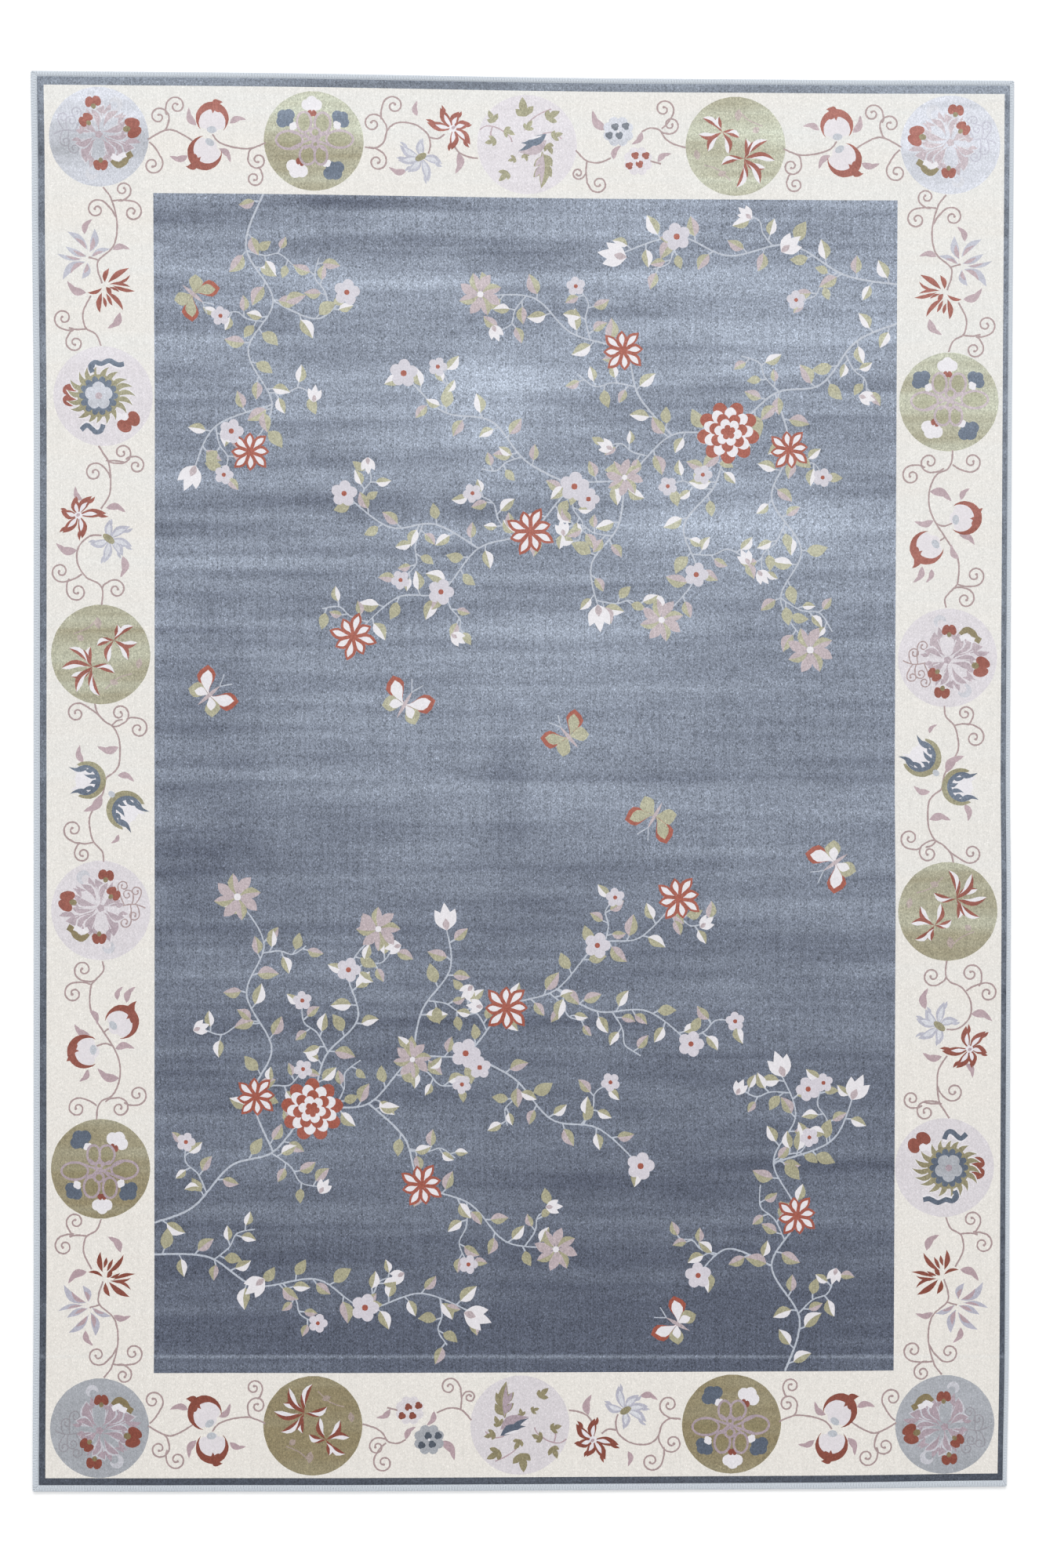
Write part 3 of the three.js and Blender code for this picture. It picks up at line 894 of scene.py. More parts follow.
def field_shapes():
    """The branches with their leaves, the flowers on them and the butterflies between them."""
    rng = random.Random(7)
    stems = []
    leaves = []
    ends = []
    for path in FIELD_STEMS:
        parts = [twig(path, rng)]
        for short in side_twigs(path, rng):
            parts.append(twig(short, rng, 17, 21, 0.05, 2.0, 1.6))
            ends.append(short[-1])
        for new_stems, new_leaves in parts:
            stems += new_stems
            leaves += new_leaves
    flowers = []
    for number, place in enumerate(ends):
        if number % 3 == 0:
            flowers += round_blossom(place, 13, 40 * number)
        elif number % 3 == 1:
            flowers += tulip(place, 14, 57 * number)
    for kind, place, radius, turn in FIELD_FLOWERS:
        flowers += FLOWER_KINDS[kind](place, radius * FLOWER_SIZE, turn)
    for place, radius, turn, wing in FIELD_BUTTERFLIES:
        flowers += butterfly(place, radius * FLOWER_SIZE, turn, wing)
    return stems + leaves + flowers


# The pale colour of painted sheen that several yarns near where their nap catches the light
PAINTED_SHEEN_SILVER = (208, 213, 221)

# Yarns: colour in sRGB at the dull end of the rug, how heathered it is, how strongly painted sheen lightens it
# where its nap catches light, and the colour of that painted sheen, which it nears there
YARNS = {
    "slate": ((88, 94, 109), 1.0, 0.52, (196, 207, 223)),
    "stripe": ((75, 81, 92), 0.8, 0.38, (190, 200, 214)),
    "cream": ((226, 222, 216), 0.22, 0.34, (220, 226, 228)),
    "pale_blue": ((160, 163, 169), 0.36, 1.0, (214, 217, 226)),
    "pale_blue_petal": ((208, 209, 215), 0.3, 0.2, PAINTED_SHEEN_SILVER),
    "olive": ((140, 129, 101), 0.55, 0.85, (206, 211, 194)),
    "olive_deep": ((136, 126, 96), 0.5, 0.7, (200, 205, 184)),
    "olive_leaf": ((138, 130, 102), 0.5, 0.5, (196, 198, 176)),
    "olive_bud": ((128, 114, 84), 0.4, 0.3, (196, 196, 172)),
    "lilac_ground": ((210, 205, 209), 0.25, 0.4, (234, 232, 238)),
    "lilac_petal": ((176, 175, 188), 0.3, 0.4, PAINTED_SHEEN_SILVER),
    "highlight": ((190, 190, 197), 0.3, 0.7, (222, 224, 230)),
    "red": ((130, 72, 60), 0.4, 0.42, (208, 150, 142)),
    "white": ((222, 219, 223), 0.15, 0.4, (240, 240, 244)),
    "pale": ((218, 213, 217), 0.15, 0.3, (232, 230, 234)),
    "blue_spot": ((182, 186, 193), 0.3, 0.3, PAINTED_SHEEN_SILVER),
    "lilac": ((205, 200, 208), 0.2, 0.3, PAINTED_SHEEN_SILVER),
    "mauve": ((174, 152, 158), 0.3, 0.35, (212, 200, 204)),
    "pink": ((164, 148, 157), 0.4, 0.7, (212, 202, 206)),
    "pink_faint": ((160, 144, 136), 0.5, 0.7, (206, 196, 194)),
    "stem": ((164, 144, 144), 0.3, 0.25, (200, 186, 186)),
    "scroll_dark": ((146, 144, 150), 0.3, 1.0, (198, 198, 210)),
    "navy": ((86, 95, 110), 0.5, 0.35, (176, 190, 208)),
    "navy_dark": ((80, 87, 98), 0.5, 0.25, PAINTED_SHEEN_SILVER),
    "field_stem": ((178, 184, 195), 0.3, 0.3, PAINTED_SHEEN_SILVER),
    "field_red": ((154, 84, 70), 0.4, 0.3, (205, 150, 140)),
    "field_pink": ((180, 166, 170), 0.4, 0.4, (212, 204, 208)),
    "sage": ((160, 156, 130), 0.5, 0.6, (200, 202, 182)),
    "backing": ((176, 168, 152), 0.5, 0.0, PAINTED_SHEEN_SILVER),
    "weave": ((188, 180, 164), 0.5, 0.0, PAINTED_SHEEN_SILVER),
    "sewn_edge": ((206, 213, 221), 0.35, 0.2, (214, 222, 230)),
}
YARN_NAMES = list(YARNS)


# Laying the pattern into the pile

# Corners that round to the same fortieth of a knot are one corner
CORNER_STEPS = 40

# The kind of output asked of the cutting of a tile, the faces inside its outlines, and its tolerance in knots
TRIANGLES_INSIDE = 1
CUT_TOLERANCE = 1e-3

# Sizes of the tiles that the field and the border are cut in, in knots
FIELD_TILE = 120
BORDER_TILE = 150

# The pile leans down by this much at the sewn edges, over this reach, in millimetres
PILE_LEAN = 0.9
LEAN_REACH = 4

# The square map of a pile piece: the top's share of it, the strip for the underside and the bands for the walls
TOP_SHARE = 0.96
BASE_START = 0.975
BASE_WIDTH = 0.02
WALL_START = 0.966
WALL_BAND = 0.004
WALL_RISE = 0.0035
MAP_WIDTH = 1.62
MAP_LENGTH = 2.34

# Walls farther out than this, in metres, are the outer ones
OUTER_ACROSS = 0.7
OUTER_ALONG = 1.05


def snapped(outline):
    """The outline on the half-knot grid of the weave, counter-clockwise and without repeats."""
    points = []
    for point in outline:
        place = (round(point.real / SNAP) * SNAP, round(point.imag / SNAP) * SNAP)
        if not points or place != points[-1]:
            points.append(place)
    while len(points) > 1 and points[0] == points[-1]:
        points.pop()
    if len(points) < 3:
        return None
    area = sum(a[0] * b[1] - b[0] * a[1] for a, b in zip(points, points[1:] + points[:1]))
    if abs(area) < SNAP:
        return None
    return points if area > 0 else points[::-1]


def cuts(start, end, size):
    """Places that cut a length into parts of about one size."""
    parts = max(1, round((end - start) / size))
    return [lerp(start, end, i / parts) for i in range(parts + 1)]


def tile_outline(x0, y0, x1, y1):
    """A tile's corners with stations between them, counter-clockwise."""
    corners = [(x0, y0), (x1, y0), (x1, y1), (x0, y1)]
    outline = []
    for (ax, ay), (bx, by) in zip(corners, corners[1:] + corners[:1]):
        steps = max(1, round((abs(bx - ax) + abs(by - ay)) / STATION))
        outline += [(lerp(ax, bx, i / steps), lerp(ay, by, i / steps)) for i in range(steps)]
    return outline


def within(places, outline):
    """Which places lie inside an outline, where it may cross itself."""
    ax, ay = np.array(outline).T
    bx, by = np.roll(ax, -1), np.roll(ay, -1)
    x = places[:, 0:1]
    y = places[:, 1:2]
    side = (bx - ax) * (y - ay) - (x - ax) * (by - ay)
    rising = (ay <= y) & (by > y) & (side > 0)
    falling = (ay > y) & (by <= y) & (side < 0)
    return (rising.sum(1) - falling.sum(1)) != 0


class Inlay:
    """The top of one pile piece: faces of one yarn each, with shared corners."""

    def __init__(self, shapes, ground):
        self.ground = YARN_NAMES.index(ground)
        self.places = []
        self.lookup = {}
        self.faces = []
        self.shapes = []
        for yarn, outline in shapes:
            points = snapped(outline)
            if points:
                xs = [x for x, y in points]
                ys = [y for x, y in points]
                self.shapes.append((min(xs), min(ys), max(xs), max(ys), YARN_NAMES.index(yarn), points))

    def corner(self, place):
        """The number of the corner at a place, which is made if it's new."""
        key = (round(place[0] * CORNER_STEPS), round(place[1] * CORNER_STEPS))
        if key not in self.lookup:
            self.lookup[key] = len(self.places)
            self.places.append((place[0], place[1]))
        return self.lookup[key]

    def tile(self, x0, y0, x1, y1, patch=0):
        """Cuts the shapes that reach into a tile into its ground. The topmost shape gives a face its yarn."""
        near = [shape for shape in self.shapes
                if shape[0] <= x1 and shape[2] >= x0 and shape[1] <= y1 and shape[3] >= y0]
        outlines = [tile_outline(x0, y0, x1, y1)] + [shape[5] for shape in near]
        points = [Vector(point) for outline in outlines for point in outline]
        loops = []
        start = 0
        for outline in outlines:
            loops.append(list(range(start, start + len(outline))))
            start += len(outline)
        places, _, faces, _, _, origins = delaunay_2d_cdt(points, [], loops, TRIANGLES_INSIDE, CUT_TOLERANCE)
        faces = [face for face, origin in zip(faces, origins) if 0 in origin]
        middles = np.array([
            [sum(places[i][axis] for i in face) / len(face) for axis in (0, 1)] for face in faces])
        yarns = np.full(len(faces), self.ground)
        for low_x, low_y, high_x, high_y, yarn, outline in near:
            x, y = middles.T
            here = np.nonzero((x >= low_x) & (x <= high_x) & (y >= low_y) & (y <= high_y))[0]
            if len(here):
                yarns[here[within(middles[here], outline)]] = yarn
        for face, yarn in zip(faces, yarns):
            corners = [self.corner(places[i]) for i in face]
            if len(set(corners)) == len(corners):
                self.faces.append((corners, int(yarn), patch))

    def fill(self, x0, y0, x1, y1, size, patch=0):
        """Fills a rectangle with tiles of about one size."""
        columns = cuts(x0, x1, size)
        rows = cuts(y0, y1, size)
        for left, right in zip(columns, columns[1:]):
            for low, high in zip(rows, rows[1:]):
                self.tile(left, low, right, high, patch)


def roll_off(x, y):
    """How far the pile leans down near the sewn edges, in millimetres, at a place in knots."""
    x *= KNOT
    y *= KNOT
    inward = min(
        x + RUG_WIDTH / 2 - EDGE_WIDTHS["left"], RUG_WIDTH / 2 - EDGE_WIDTHS["right"] - x,
        y + RUG_LENGTH / 2 - EDGE_WIDTHS["bottom"], RUG_LENGTH / 2 - EDGE_WIDTHS["top"] - y,
    )
    return PILE_LEAN * max(0, 1 - inward / LEAN_REACH) ** 2


def only(kind, items):
    """The items of one kind."""
    return [item for item in items if isinstance(item, kind)]


def piece_from(bm, name):
    """A piece at the origin, made from a bmesh and linked to the scene."""
    mesh = bpy.data.meshes.new(name)
    bm.to_mesh(mesh)
    bm.free()
    piece = bpy.data.objects.new(name, mesh)
    bpy.context.scene.collection.objects.link(piece)
    return piece


def map_wall(face, uv_layer, height):
    """Lays a wall's face into its own band of the square map."""
    middle = face.calc_center_median()
    xs = [loop.vert.co.x for loop in face.loops]
    ys = [loop.vert.co.y for loop in face.loops]
    upright = max(ys) - min(ys) > max(xs) - min(xs)
    away = middle.x if upright else middle.y
    outer = abs(away) > (OUTER_ACROSS if upright else OUTER_ALONG)
    band = (0 if upright else 2) + (0 if away > 0 else 1) + (4 if outer else 0)
    for loop in face.loops:
        place = loop.vert.co
        along = (place.y / MAP_LENGTH if upright else place.x / MAP_WIDTH) + 0.5
        loop[uv_layer].uv = (TOP_SHARE * along, WALL_START + WALL_BAND * band + WALL_RISE * place.z / height)


def dress_yarns(mesh):
    """Turns the yarn number of each face into its colours: as it is, and the painted sheen colour that it nears
    where its nap catches the light, with the strength of that painted sheen.
    """
    numbers = np.zeros(len(mesh.polygons), dtype=np.int32)
    mesh.attributes["yarn_number"].data.foreach_get("value", numbers)
    mesh.attributes.remove(mesh.attributes["yarn_number"])
    chosen = bpy.context.scene.rug_yarns
    dull = []
    lit = []
    for yarn, (_, heather, catch, sheen_colour) in YARNS.items():
        dull.append((*linear(getattr(chosen, yarn)), heather))
        lit.append((*linear(from_255(sheen_colour)), catch))
    # The lit colour is each yarn's painted sheen colour, with the painted sheen's strength in its alpha
    for name, colours in (("yarn", dull), ("lit", lit)):
        attribute = mesh.attributes.new(name, "FLOAT_COLOR", "FACE")
        attribute.data.foreach_set("color", np.array(colours)[numbers].ravel())


def pile_piece(name, inlay, top_map):
    """A closed layer of pile: the inlaid top, walls down to the backing and a flat underside."""
    sizes = bpy.context.scene.rug_sizes
    bm = bmesh.new()
    yarn_layer = bm.faces.layers.int.new("yarn_number")
    uv_layer = bm.loops.layers.uv.new("OFBake")
    verts = []
    for x, y in inlay.places:
        height = sizes.pile_top * 1000 - roll_off(x, y)
        verts.append(bm.verts.new(on_rug(x * KNOT, y * KNOT, height)))
    plain_place = dict(zip(verts, inlay.places))
    for corners, yarn, patch in inlay.faces:
        face = bm.faces.new([verts[i] for i in corners])
        face[yarn_layer] = yarn
        for loop in face.loops:
            loop[uv_layer].uv = top_map(*plain_place[loop.vert], patch)
    bm.normal_update()

    rim = [edge for edge in bm.edges if len(edge.link_faces) == 1]
    extruded = bmesh.ops.extrude_edge_only(bm, edges=rim)["geom"]
    for vert in only(bmesh.types.BMVert, extruded):
        vert.co.z = sizes.backing_top
    low_edges = only(bmesh.types.BMEdge, extruded)
    filled = bmesh.ops.triangle_fill(bm, use_beauty=True, use_dissolve=False, edges=low_edges)["geom"]
    for face in only(bmesh.types.BMFace, filled):
        face[yarn_layer] = YARN_NAMES.index("backing")
        for loop in face.loops:
            x, y, _ = loop.vert.co
            across = BASE_START + BASE_WIDTH * (x / MAP_WIDTH + 0.5)
            loop[uv_layer].uv = (across, TOP_SHARE * (y / MAP_LENGTH + 0.5))
    for face in only(bmesh.types.BMFace, extruded):
        map_wall(face, uv_layer, sizes.pile_top)
    bmesh.ops.recalc_face_normals(bm, faces=bm.faces)
    piece = piece_from(bm, name)
    dress_yarns(piece.data)
    return piece


# Shader nodes

class Graph:
    """Makes nodes in a tree, with inputs given as values or as other nodes' outputs."""

    def __init__(self, tree):
        self.tree = tree

    def node(self, kind, inputs=None, **settings):
        made = self.tree.nodes.new(kind)
        for key, value in settings.items():
            setattr(made, key, value)
        for key, value in (inputs or {}).items():
            if isinstance(value, bpy.types.NodeSocket):
                self.tree.links.new(value, made.inputs[key])
            else:
                made.inputs[key].default_value = value
        return made

    def maths(self, operation, *values, clamp=False):
        inputs = dict(enumerate(values))
        return self.node("ShaderNodeMath", inputs, operation=operation, use_clamp=clamp).outputs[0]

    def vector(self, operation, *values):
        return self.node("ShaderNodeVectorMath", dict(enumerate(values)), operation=operation).outputs[0]

    def mix(self, share, first, second, blend="MIX"):
        """One colour mixed into another. A mix node's colours are its inputs 6 and 7, and its output 2."""
        inputs = {0: share, 6: first, 7: second}
        return self.node("ShaderNodeMix", inputs, data_type="RGBA", blend_type=blend).outputs[2]

    def noise(self, place, scale, detail=2.0, wander=0.0):
        inputs = {"Vector": place, "Scale": scale, "Detail": detail, "Distortion": wander}
        return self.node("ShaderNodeTexNoise", inputs).outputs[0]

    def swing(self, noise, strength):
        """A noise as a swing to both sides of nothing."""
        return self.maths("MULTIPLY", self.maths("SUBTRACT", noise, 0.5), strength)

    def faded(self, distance, near, far, strength):
        """The strength as far as the near distance, eased to nothing at the far one."""
        inputs = {0: distance, 1: near, 2: far, 3: strength, 4: 0.0}
        return self.node("ShaderNodeMapRange", inputs, interpolation_type="SMOOTHSTEP").outputs[0]

    def shaded(self, colour, factor):
        """A colour made lighter or darker by a factor."""
        grey = self.node("ShaderNodeCombineColor", {0: factor, 1: factor, 2: factor}).outputs[0]
        return self.mix(1.0, colour, grey, "MULTIPLY")

    def place(self):
        return self.node("ShaderNodeTexCoord").outputs["Object"]

    def group(self, name, build, inputs):
        """The outputs of a shared node group, which is built the first time that it is asked for."""
        tree = bpy.data.node_groups.get(name) or build(name)
        return self.node("ShaderNodeGroup", inputs, node_tree=tree).outputs

    def surface(self, inputs):
        """Ends a material with its shader."""
        shader = self.node("ShaderNodeBsdfPrincipled", inputs)
        self.node("ShaderNodeOutputMaterial", {0: shader.outputs[0]})

    def bump(self, height, strength, depth):
        inputs = {"Height": height, "Strength": strength, "Distance": depth}
        return self.node("ShaderNodeBump", inputs).outputs[0]


def new_group(name, inputs, outputs):
    """A shader node group with named number sockets. Gives its graph and its input and output nodes."""
    tree = bpy.data.node_groups.new(name, "ShaderNodeTree")
    for label in inputs:
        tree.interface.new_socket(label, in_out="INPUT", socket_type="NodeSocketFloat")
    for label in outputs:
        tree.interface.new_socket(label, in_out="OUTPUT", socket_type="NodeSocketFloat")
    return Graph(tree), tree.nodes.new("NodeGroupInput"), tree.nodes.new("NodeGroupOutput")


# Painted sheen: how bright the nap is painted along the rug from its lower end up, and what it gains to the
# upper right
PAINTED_SHEEN_LEVELS = [(0.0, 0.02), (0.16, 0.07), (0.3, 0.22), (0.48, 0.49), (0.62, 0.58), (0.8, 0.74), (1.0, 0.78)]
PAINTED_SHEEN_GAIN = 0.14

# Painted sheen in bands and brush marks of the nap: stretch across and along the rug, how far they wander, and
# strength
PAINTED_SHEEN_BANDS = [(0.8, 6.0, 0.2, 0.5), (1.1, 19.0, 0.2, 1.15), (2.0, 52.0, 0.0, 0.75), (4.5, 7.0, 1.2, 0.5)]

# The share of their strength that the bands have at the lower end, and what they gain by the upper one
BAND_SHARE = 0.32
BAND_GAIN = 1.0

# Places where the nap is brushed another way, painted as patches of sheen, lighter where the strength is above
# nothing and darker where it is below: centre and radii in metres, and strength
PAINTED_SHEEN_PATCHES = [
    (-0.06, 0.62, 0.10, 0.10, 0.40),
    (0.02, 0.68, 0.16, 0.05, 0.18),
    (0.36, 0.74, 0.20, 0.10, 0.12),
    (0.40, 0.40, 0.26, 0.07, 0.28),
    (0.12, 0.25, 0.20, 0.05, 0.18),
    (-0.02, 0.0, 0.04, 0.13, -0.16),
    (-0.10, 0.09, 0.36, 0.24, 0.13),
    (-0.52, 0.0, 0.10, 0.30, -0.14),
    (0.46, 0.86, 0.20, 0.10, -0.16),
    (-0.27, -0.67, 0.34, 0.12, 0.14),
    (0.04, -0.14, 0.16, 0.09, -0.14),
]

# The line where the rug was once folded, painted as a narrow bright line of sheen beside a broad band of
# painted shade: its place along the rug, its half width and its strength
PAINTED_FOLD_SHEEN = [(-0.9375, 0.0032, 0.42), (-0.905, 0.03, -0.1)]

# Where a patch or a fold starts to fade and where it has gone, in its own radii or half widths
PATCH_FADE = (0.35, 1.3)
FOLD_FADE = (0.0, 1.6)


def painted_sheen_group(name):
    """Painted sheen: how much the leaning pile is painted as catching the light, more towards one end, in
    bands, in patches and along an old fold.
    """
    graph, given, out = new_group(name, ["Catch"], ["Share"])
    place = graph.place()
    parts = graph.node("ShaderNodeSeparateXYZ", {0: place}).outputs
    # Painted sheen, lighter towards the rug's upper end and to its upper right
    along = graph.maths("MULTIPLY_ADD", parts[1], 1000 / RUG_LENGTH, 0.5)
    ramp = graph.node("ShaderNodeValToRGB", {0: along})
    stops = ramp.color_ramp.elements
    for i, (position, level) in enumerate(PAINTED_SHEEN_LEVELS):
        stop = stops[i] if i < 2 else stops.new(position)
        stop.position = position
        stop.color = (level, level, level, 1)
    painted_sheen = graph.node("ShaderNodeSeparateColor", {0: ramp.outputs[0]}).outputs[0]
    gain = graph.maths("MULTIPLY", graph.maths("MULTIPLY", parts[0], along), PAINTED_SHEEN_GAIN)
    painted_sheen = graph.maths("ADD", painted_sheen, gain)
    depth = graph.maths("MULTIPLY_ADD", along, BAND_GAIN, BAND_SHARE)
    # Painted bands of sheen
    for across, up, wander, strength in PAINTED_SHEEN_BANDS:
        stretched = graph.vector("MULTIPLY", place, (across, up, 1.0))
        swing = graph.swing(graph.noise(stretched, 1.0, wander=wander), strength)
        painted_sheen = graph.maths("ADD", painted_sheen, graph.maths("MULTIPLY", swing, depth))
    # Painted patches of lighter and darker sheen where the nap was brushed another way
    for x, y, wide, high, strength in PAINTED_SHEEN_PATCHES:
        offset = graph.vector("DIVIDE", graph.vector("SUBTRACT", place, (x, y, 0)), (wide, high, 1000))
        away = graph.node("ShaderNodeVectorMath", {0: offset}, operation="LENGTH").outputs["Value"]
        painted_sheen = graph.maths("ADD", painted_sheen, graph.faded(away, *PATCH_FADE, strength))
    # Painted light and shade along the old fold
    for y, half, strength in PAINTED_FOLD_SHEEN:
        away = graph.maths("DIVIDE", graph.maths("ABSOLUTE", graph.maths("SUBTRACT", parts[1], y)), half)
        painted_sheen = graph.maths("ADD", painted_sheen, graph.faded(away, *FOLD_FADE, strength))
    painted_sheen = graph.maths("MAXIMUM", painted_sheen, 0.0)
    share = graph.maths("MULTIPLY", painted_sheen, given.outputs["Catch"], clamp=True)
    graph.tree.links.new(share, out.inputs["Share"])
    return graph.tree


# Light and dark in the yarn: how strong single tufts, blotches, clouds and warp lines are
TUFT_STRENGTH = 0.75
BLOTCH_STRENGTH = 1.1
CLOUD_STRENGTH = 0.3
WARP_STRENGTH = 0.55

# How fine the blotches and clouds are, and the warp lines across and along the rug
BLOTCH_SCALE = 330.0
CLOUD_SCALE = 90.0
WARP_SCALE = (420.0, 6.0, 0.0)

# Tufts whose chance is above this are bright flecks, lighter by this much
FLECK_CHANCE = 0.988
FLECK_STRENGTH = 0.7


def tuft_group(name):
    """Heathered yarn: light and dark tufts, one a knot, with soft blotches over a few of them."""
    graph, given, out = new_group(name, ["Heather"], ["Shade", "Height"])
    place = graph.place()
    knots = graph.vector("FLOOR", graph.vector("MULTIPLY", place, (1000 / KNOT, 1000 / KNOT, 0.0)))
    chance = graph.node("ShaderNodeTexWhiteNoise", {"Vector": knots}, noise_dimensions="3D").outputs["Value"]
    blotch = graph.noise(place, BLOTCH_SCALE, 1.0)
    cloud = graph.noise(place, CLOUD_SCALE)
    warp = graph.noise(graph.vector("MULTIPLY", place, WARP_SCALE), 1.0)
    speckle = graph.swing(chance, TUFT_STRENGTH)
    for noise, strength in ((blotch, BLOTCH_STRENGTH), (cloud, CLOUD_STRENGTH), (warp, WARP_STRENGTH)):
        speckle = graph.maths("ADD", speckle, graph.swing(noise, strength))
    fleck = graph.maths("MULTIPLY", graph.maths("GREATER_THAN", chance, FLECK_CHANCE), FLECK_STRENGTH)
    speckle = graph.maths("MULTIPLY", graph.maths("ADD", speckle, fleck), given.outputs["Heather"])
    graph.tree.links.new(graph.maths("ADD", speckle, 1.0), out.inputs["Shade"])
    graph.tree.links.new(graph.maths("ADD", chance, blotch), out.inputs["Height"])
    return graph.tree


def new_material(name):
    made = bpy.data.materials.new(name)
    made.use_nodes = True
    made.node_tree.nodes.clear()
    return made, Graph(made.node_tree)


def pile_material():
    """Cut pile in the yarn of each face, with painted sheen mixed into its colour where the nap catches the
    light.
    """
    material, graph = new_material("Cut pile")
    yarn = graph.node("ShaderNodeAttribute", attribute_name="yarn").outputs
    lit = graph.node("ShaderNodeAttribute", attribute_name="lit").outputs
    # Painted sheen: each face's yarn colour is mixed towards its sheen colour by the painted sheen share
    painted_sheen = graph.group("Rug painted sheen", painted_sheen_group, {"Catch": lit["Alpha"]})
    tufts = graph.group("Rug tufts", tuft_group, {"Heather": yarn["Alpha"]})
    sheen_colour = graph.mix(painted_sheen["Share"], yarn["Color"], lit["Color"])
    graph.surface({
        "Base Color": graph.shaded(sheen_colour, tufts["Shade"]), "Roughness": 0.85,
        "Normal": graph.bump(tufts["Height"], 0.25, 0.0004),
        "Sheen Weight": 0.12, "Sheen Roughness": 0.45, "Specular IOR Level": 0.15,
    })
    return material


# The twist of the edge's yarn, its relief, how much lighter its crown is painted, as a painted highlight on top
# of each loop and painted shade on its sides, and its middle brightness
TWIST_TURNS = 14.0
TWIST_RELIEF = 0.35
PAINTED_CROWN_LIGHT = 0.14
EDGE_LIGHT = 0.92


def edge_material():
    """Pale yarn with a fine twist, its strands running along the loop's own map, with painted sheen along the
    rug, a painted highlight on each loop's crown and painted shade on its sides.
    """
    material, graph = new_material("Edge yarn")
    _, fuzziness, catch, sheen_colour = YARNS["sewn_edge"]
    strand = graph.node("ShaderNodeUVMap", uv_map="Strand").outputs[0]
    along, around, _ = graph.node("ShaderNodeSeparateXYZ", {0: strand}).outputs
    twist = graph.maths("SINE", graph.maths("MULTIPLY", graph.maths("ADD", along, around), TWIST_TURNS))
    # Painted highlight on each loop's crown, painted shade on its sides
    crown_shading = graph.maths("COSINE", graph.maths("MULTIPLY", around, 2 * math.pi))
    fuzz = graph.noise(graph.place(), 1400.0)
    # Painted sheen along the rug, mixed into the edge's colour
    painted_sheen = graph.group("Rug painted sheen", painted_sheen_group, {"Catch": catch})
    dull = (*linear(bpy.context.scene.rug_yarns.sewn_edge), 1)
    lit = graph.mix(painted_sheen["Share"], dull, (*linear(from_255(sheen_colour)), 1))
    factor = graph.maths("ADD", graph.swing(fuzz, fuzziness), EDGE_LIGHT)
    factor = graph.maths("MULTIPLY_ADD", crown_shading, PAINTED_CROWN_LIGHT, factor)
    height = graph.maths("MULTIPLY_ADD", twist, TWIST_RELIEF, fuzz)
    graph.surface({
        "Base Color": graph.shaded(lit, factor), "Roughness": 0.7, "Normal": graph.bump(height, 0.4, 0.0003),
        "Sheen Weight": 0.15, "Sheen Roughness": 0.4, "Specular IOR Level": 0.2,
    })
    return material


def backing_material():
    """Plain woven backing: crossed yarns in a fine grid, one a knot each way."""
    material, graph = new_material("Woven backing")
    place = graph.place()
    turns = math.pi * 1000 / KNOT
    scaled = graph.vector("MULTIPLY", place, (turns, turns, 0.0))
    parts = graph.node("ShaderNodeSeparateXYZ", {0: scaled}).outputs
    weave = graph.maths("MULTIPLY", graph.maths("SINE", parts[0]), graph.maths("SINE", parts[1]))
    fuzz = graph.noise(place, 260.0, 3.0)
    factor = graph.maths("MULTIPLY_ADD", weave, 0.12, graph.maths("ADD", fuzz, 0.5))
    colour = (*linear(bpy.context.scene.rug_yarns.weave), 1)
    graph.surface({
        "Base Color": graph.shaded(colour, factor), "Roughness": 0.9,
        "Normal": graph.bump(weave, 0.5, 0.0004), "Specular IOR Level": 0.1,
    })
    return material


# Making the pile

def field_map(x, y, patch):
    """Where the field's top lies in the square map."""
    x0, y0, x1, y1 = FIELD
    return TOP_SHARE * (x - x0) / (x1 - x0), TOP_SHARE * (y - y0) / (y1 - y0)


def border_patches():
    """The border in eight lengths, each with its own part of the map: corners, and whether it runs upright."""
    x0, y0, x1, y1 = BAND
    fx0, fy0, fx1, fy1 = FIELD
    mid_x = (x0 + x1) / 2
    mid_y = (fy0 + fy1) / 2
    return [
        (x0, fy1, mid_x, y1, False), (mid_x, fy1, x1, y1, False),
        (x0, y0, mid_x, fy0, False), (mid_x, y0, x1, fy0, False),
        (x0, fy0, fx0, mid_y, True), (x0, mid_y, fx0, fy1, True),
        (fx1, fy0, x1, mid_y, True), (fx1, mid_y, x1, fy1, True),
    ]


BORDER_PATCHES = border_patches()


def border_map(x, y, patch):
    """Where a place in one length of the border lies in the square map."""
    x0, y0, x1, y1, upright = BORDER_PATCHES[patch]
    across = (x - x0) / (x1 - x0)
    up = (y - y0) / (y1 - y0)
    u, v = (up, across) if upright else (across, up)
    return TOP_SHARE * u, (patch + 0.01 + 0.98 * v) * TOP_SHARE / len(BORDER_PATCHES)


def inner_lines():
    """The pile's outer line, where the sewn edges begin, in knots."""
    half_width = RUG_WIDTH / 2
    half_length = RUG_LENGTH / 2
    return (
        (-half_width + EDGE_WIDTHS["left"] + GAP) / KNOT,
        (-half_length + EDGE_WIDTHS["bottom"] + GAP) / KNOT,
        (half_width - EDGE_WIDTHS["right"] - GAP) / KNOT,
        (half_length - EDGE_WIDTHS["top"] - GAP) / KNOT,
    )


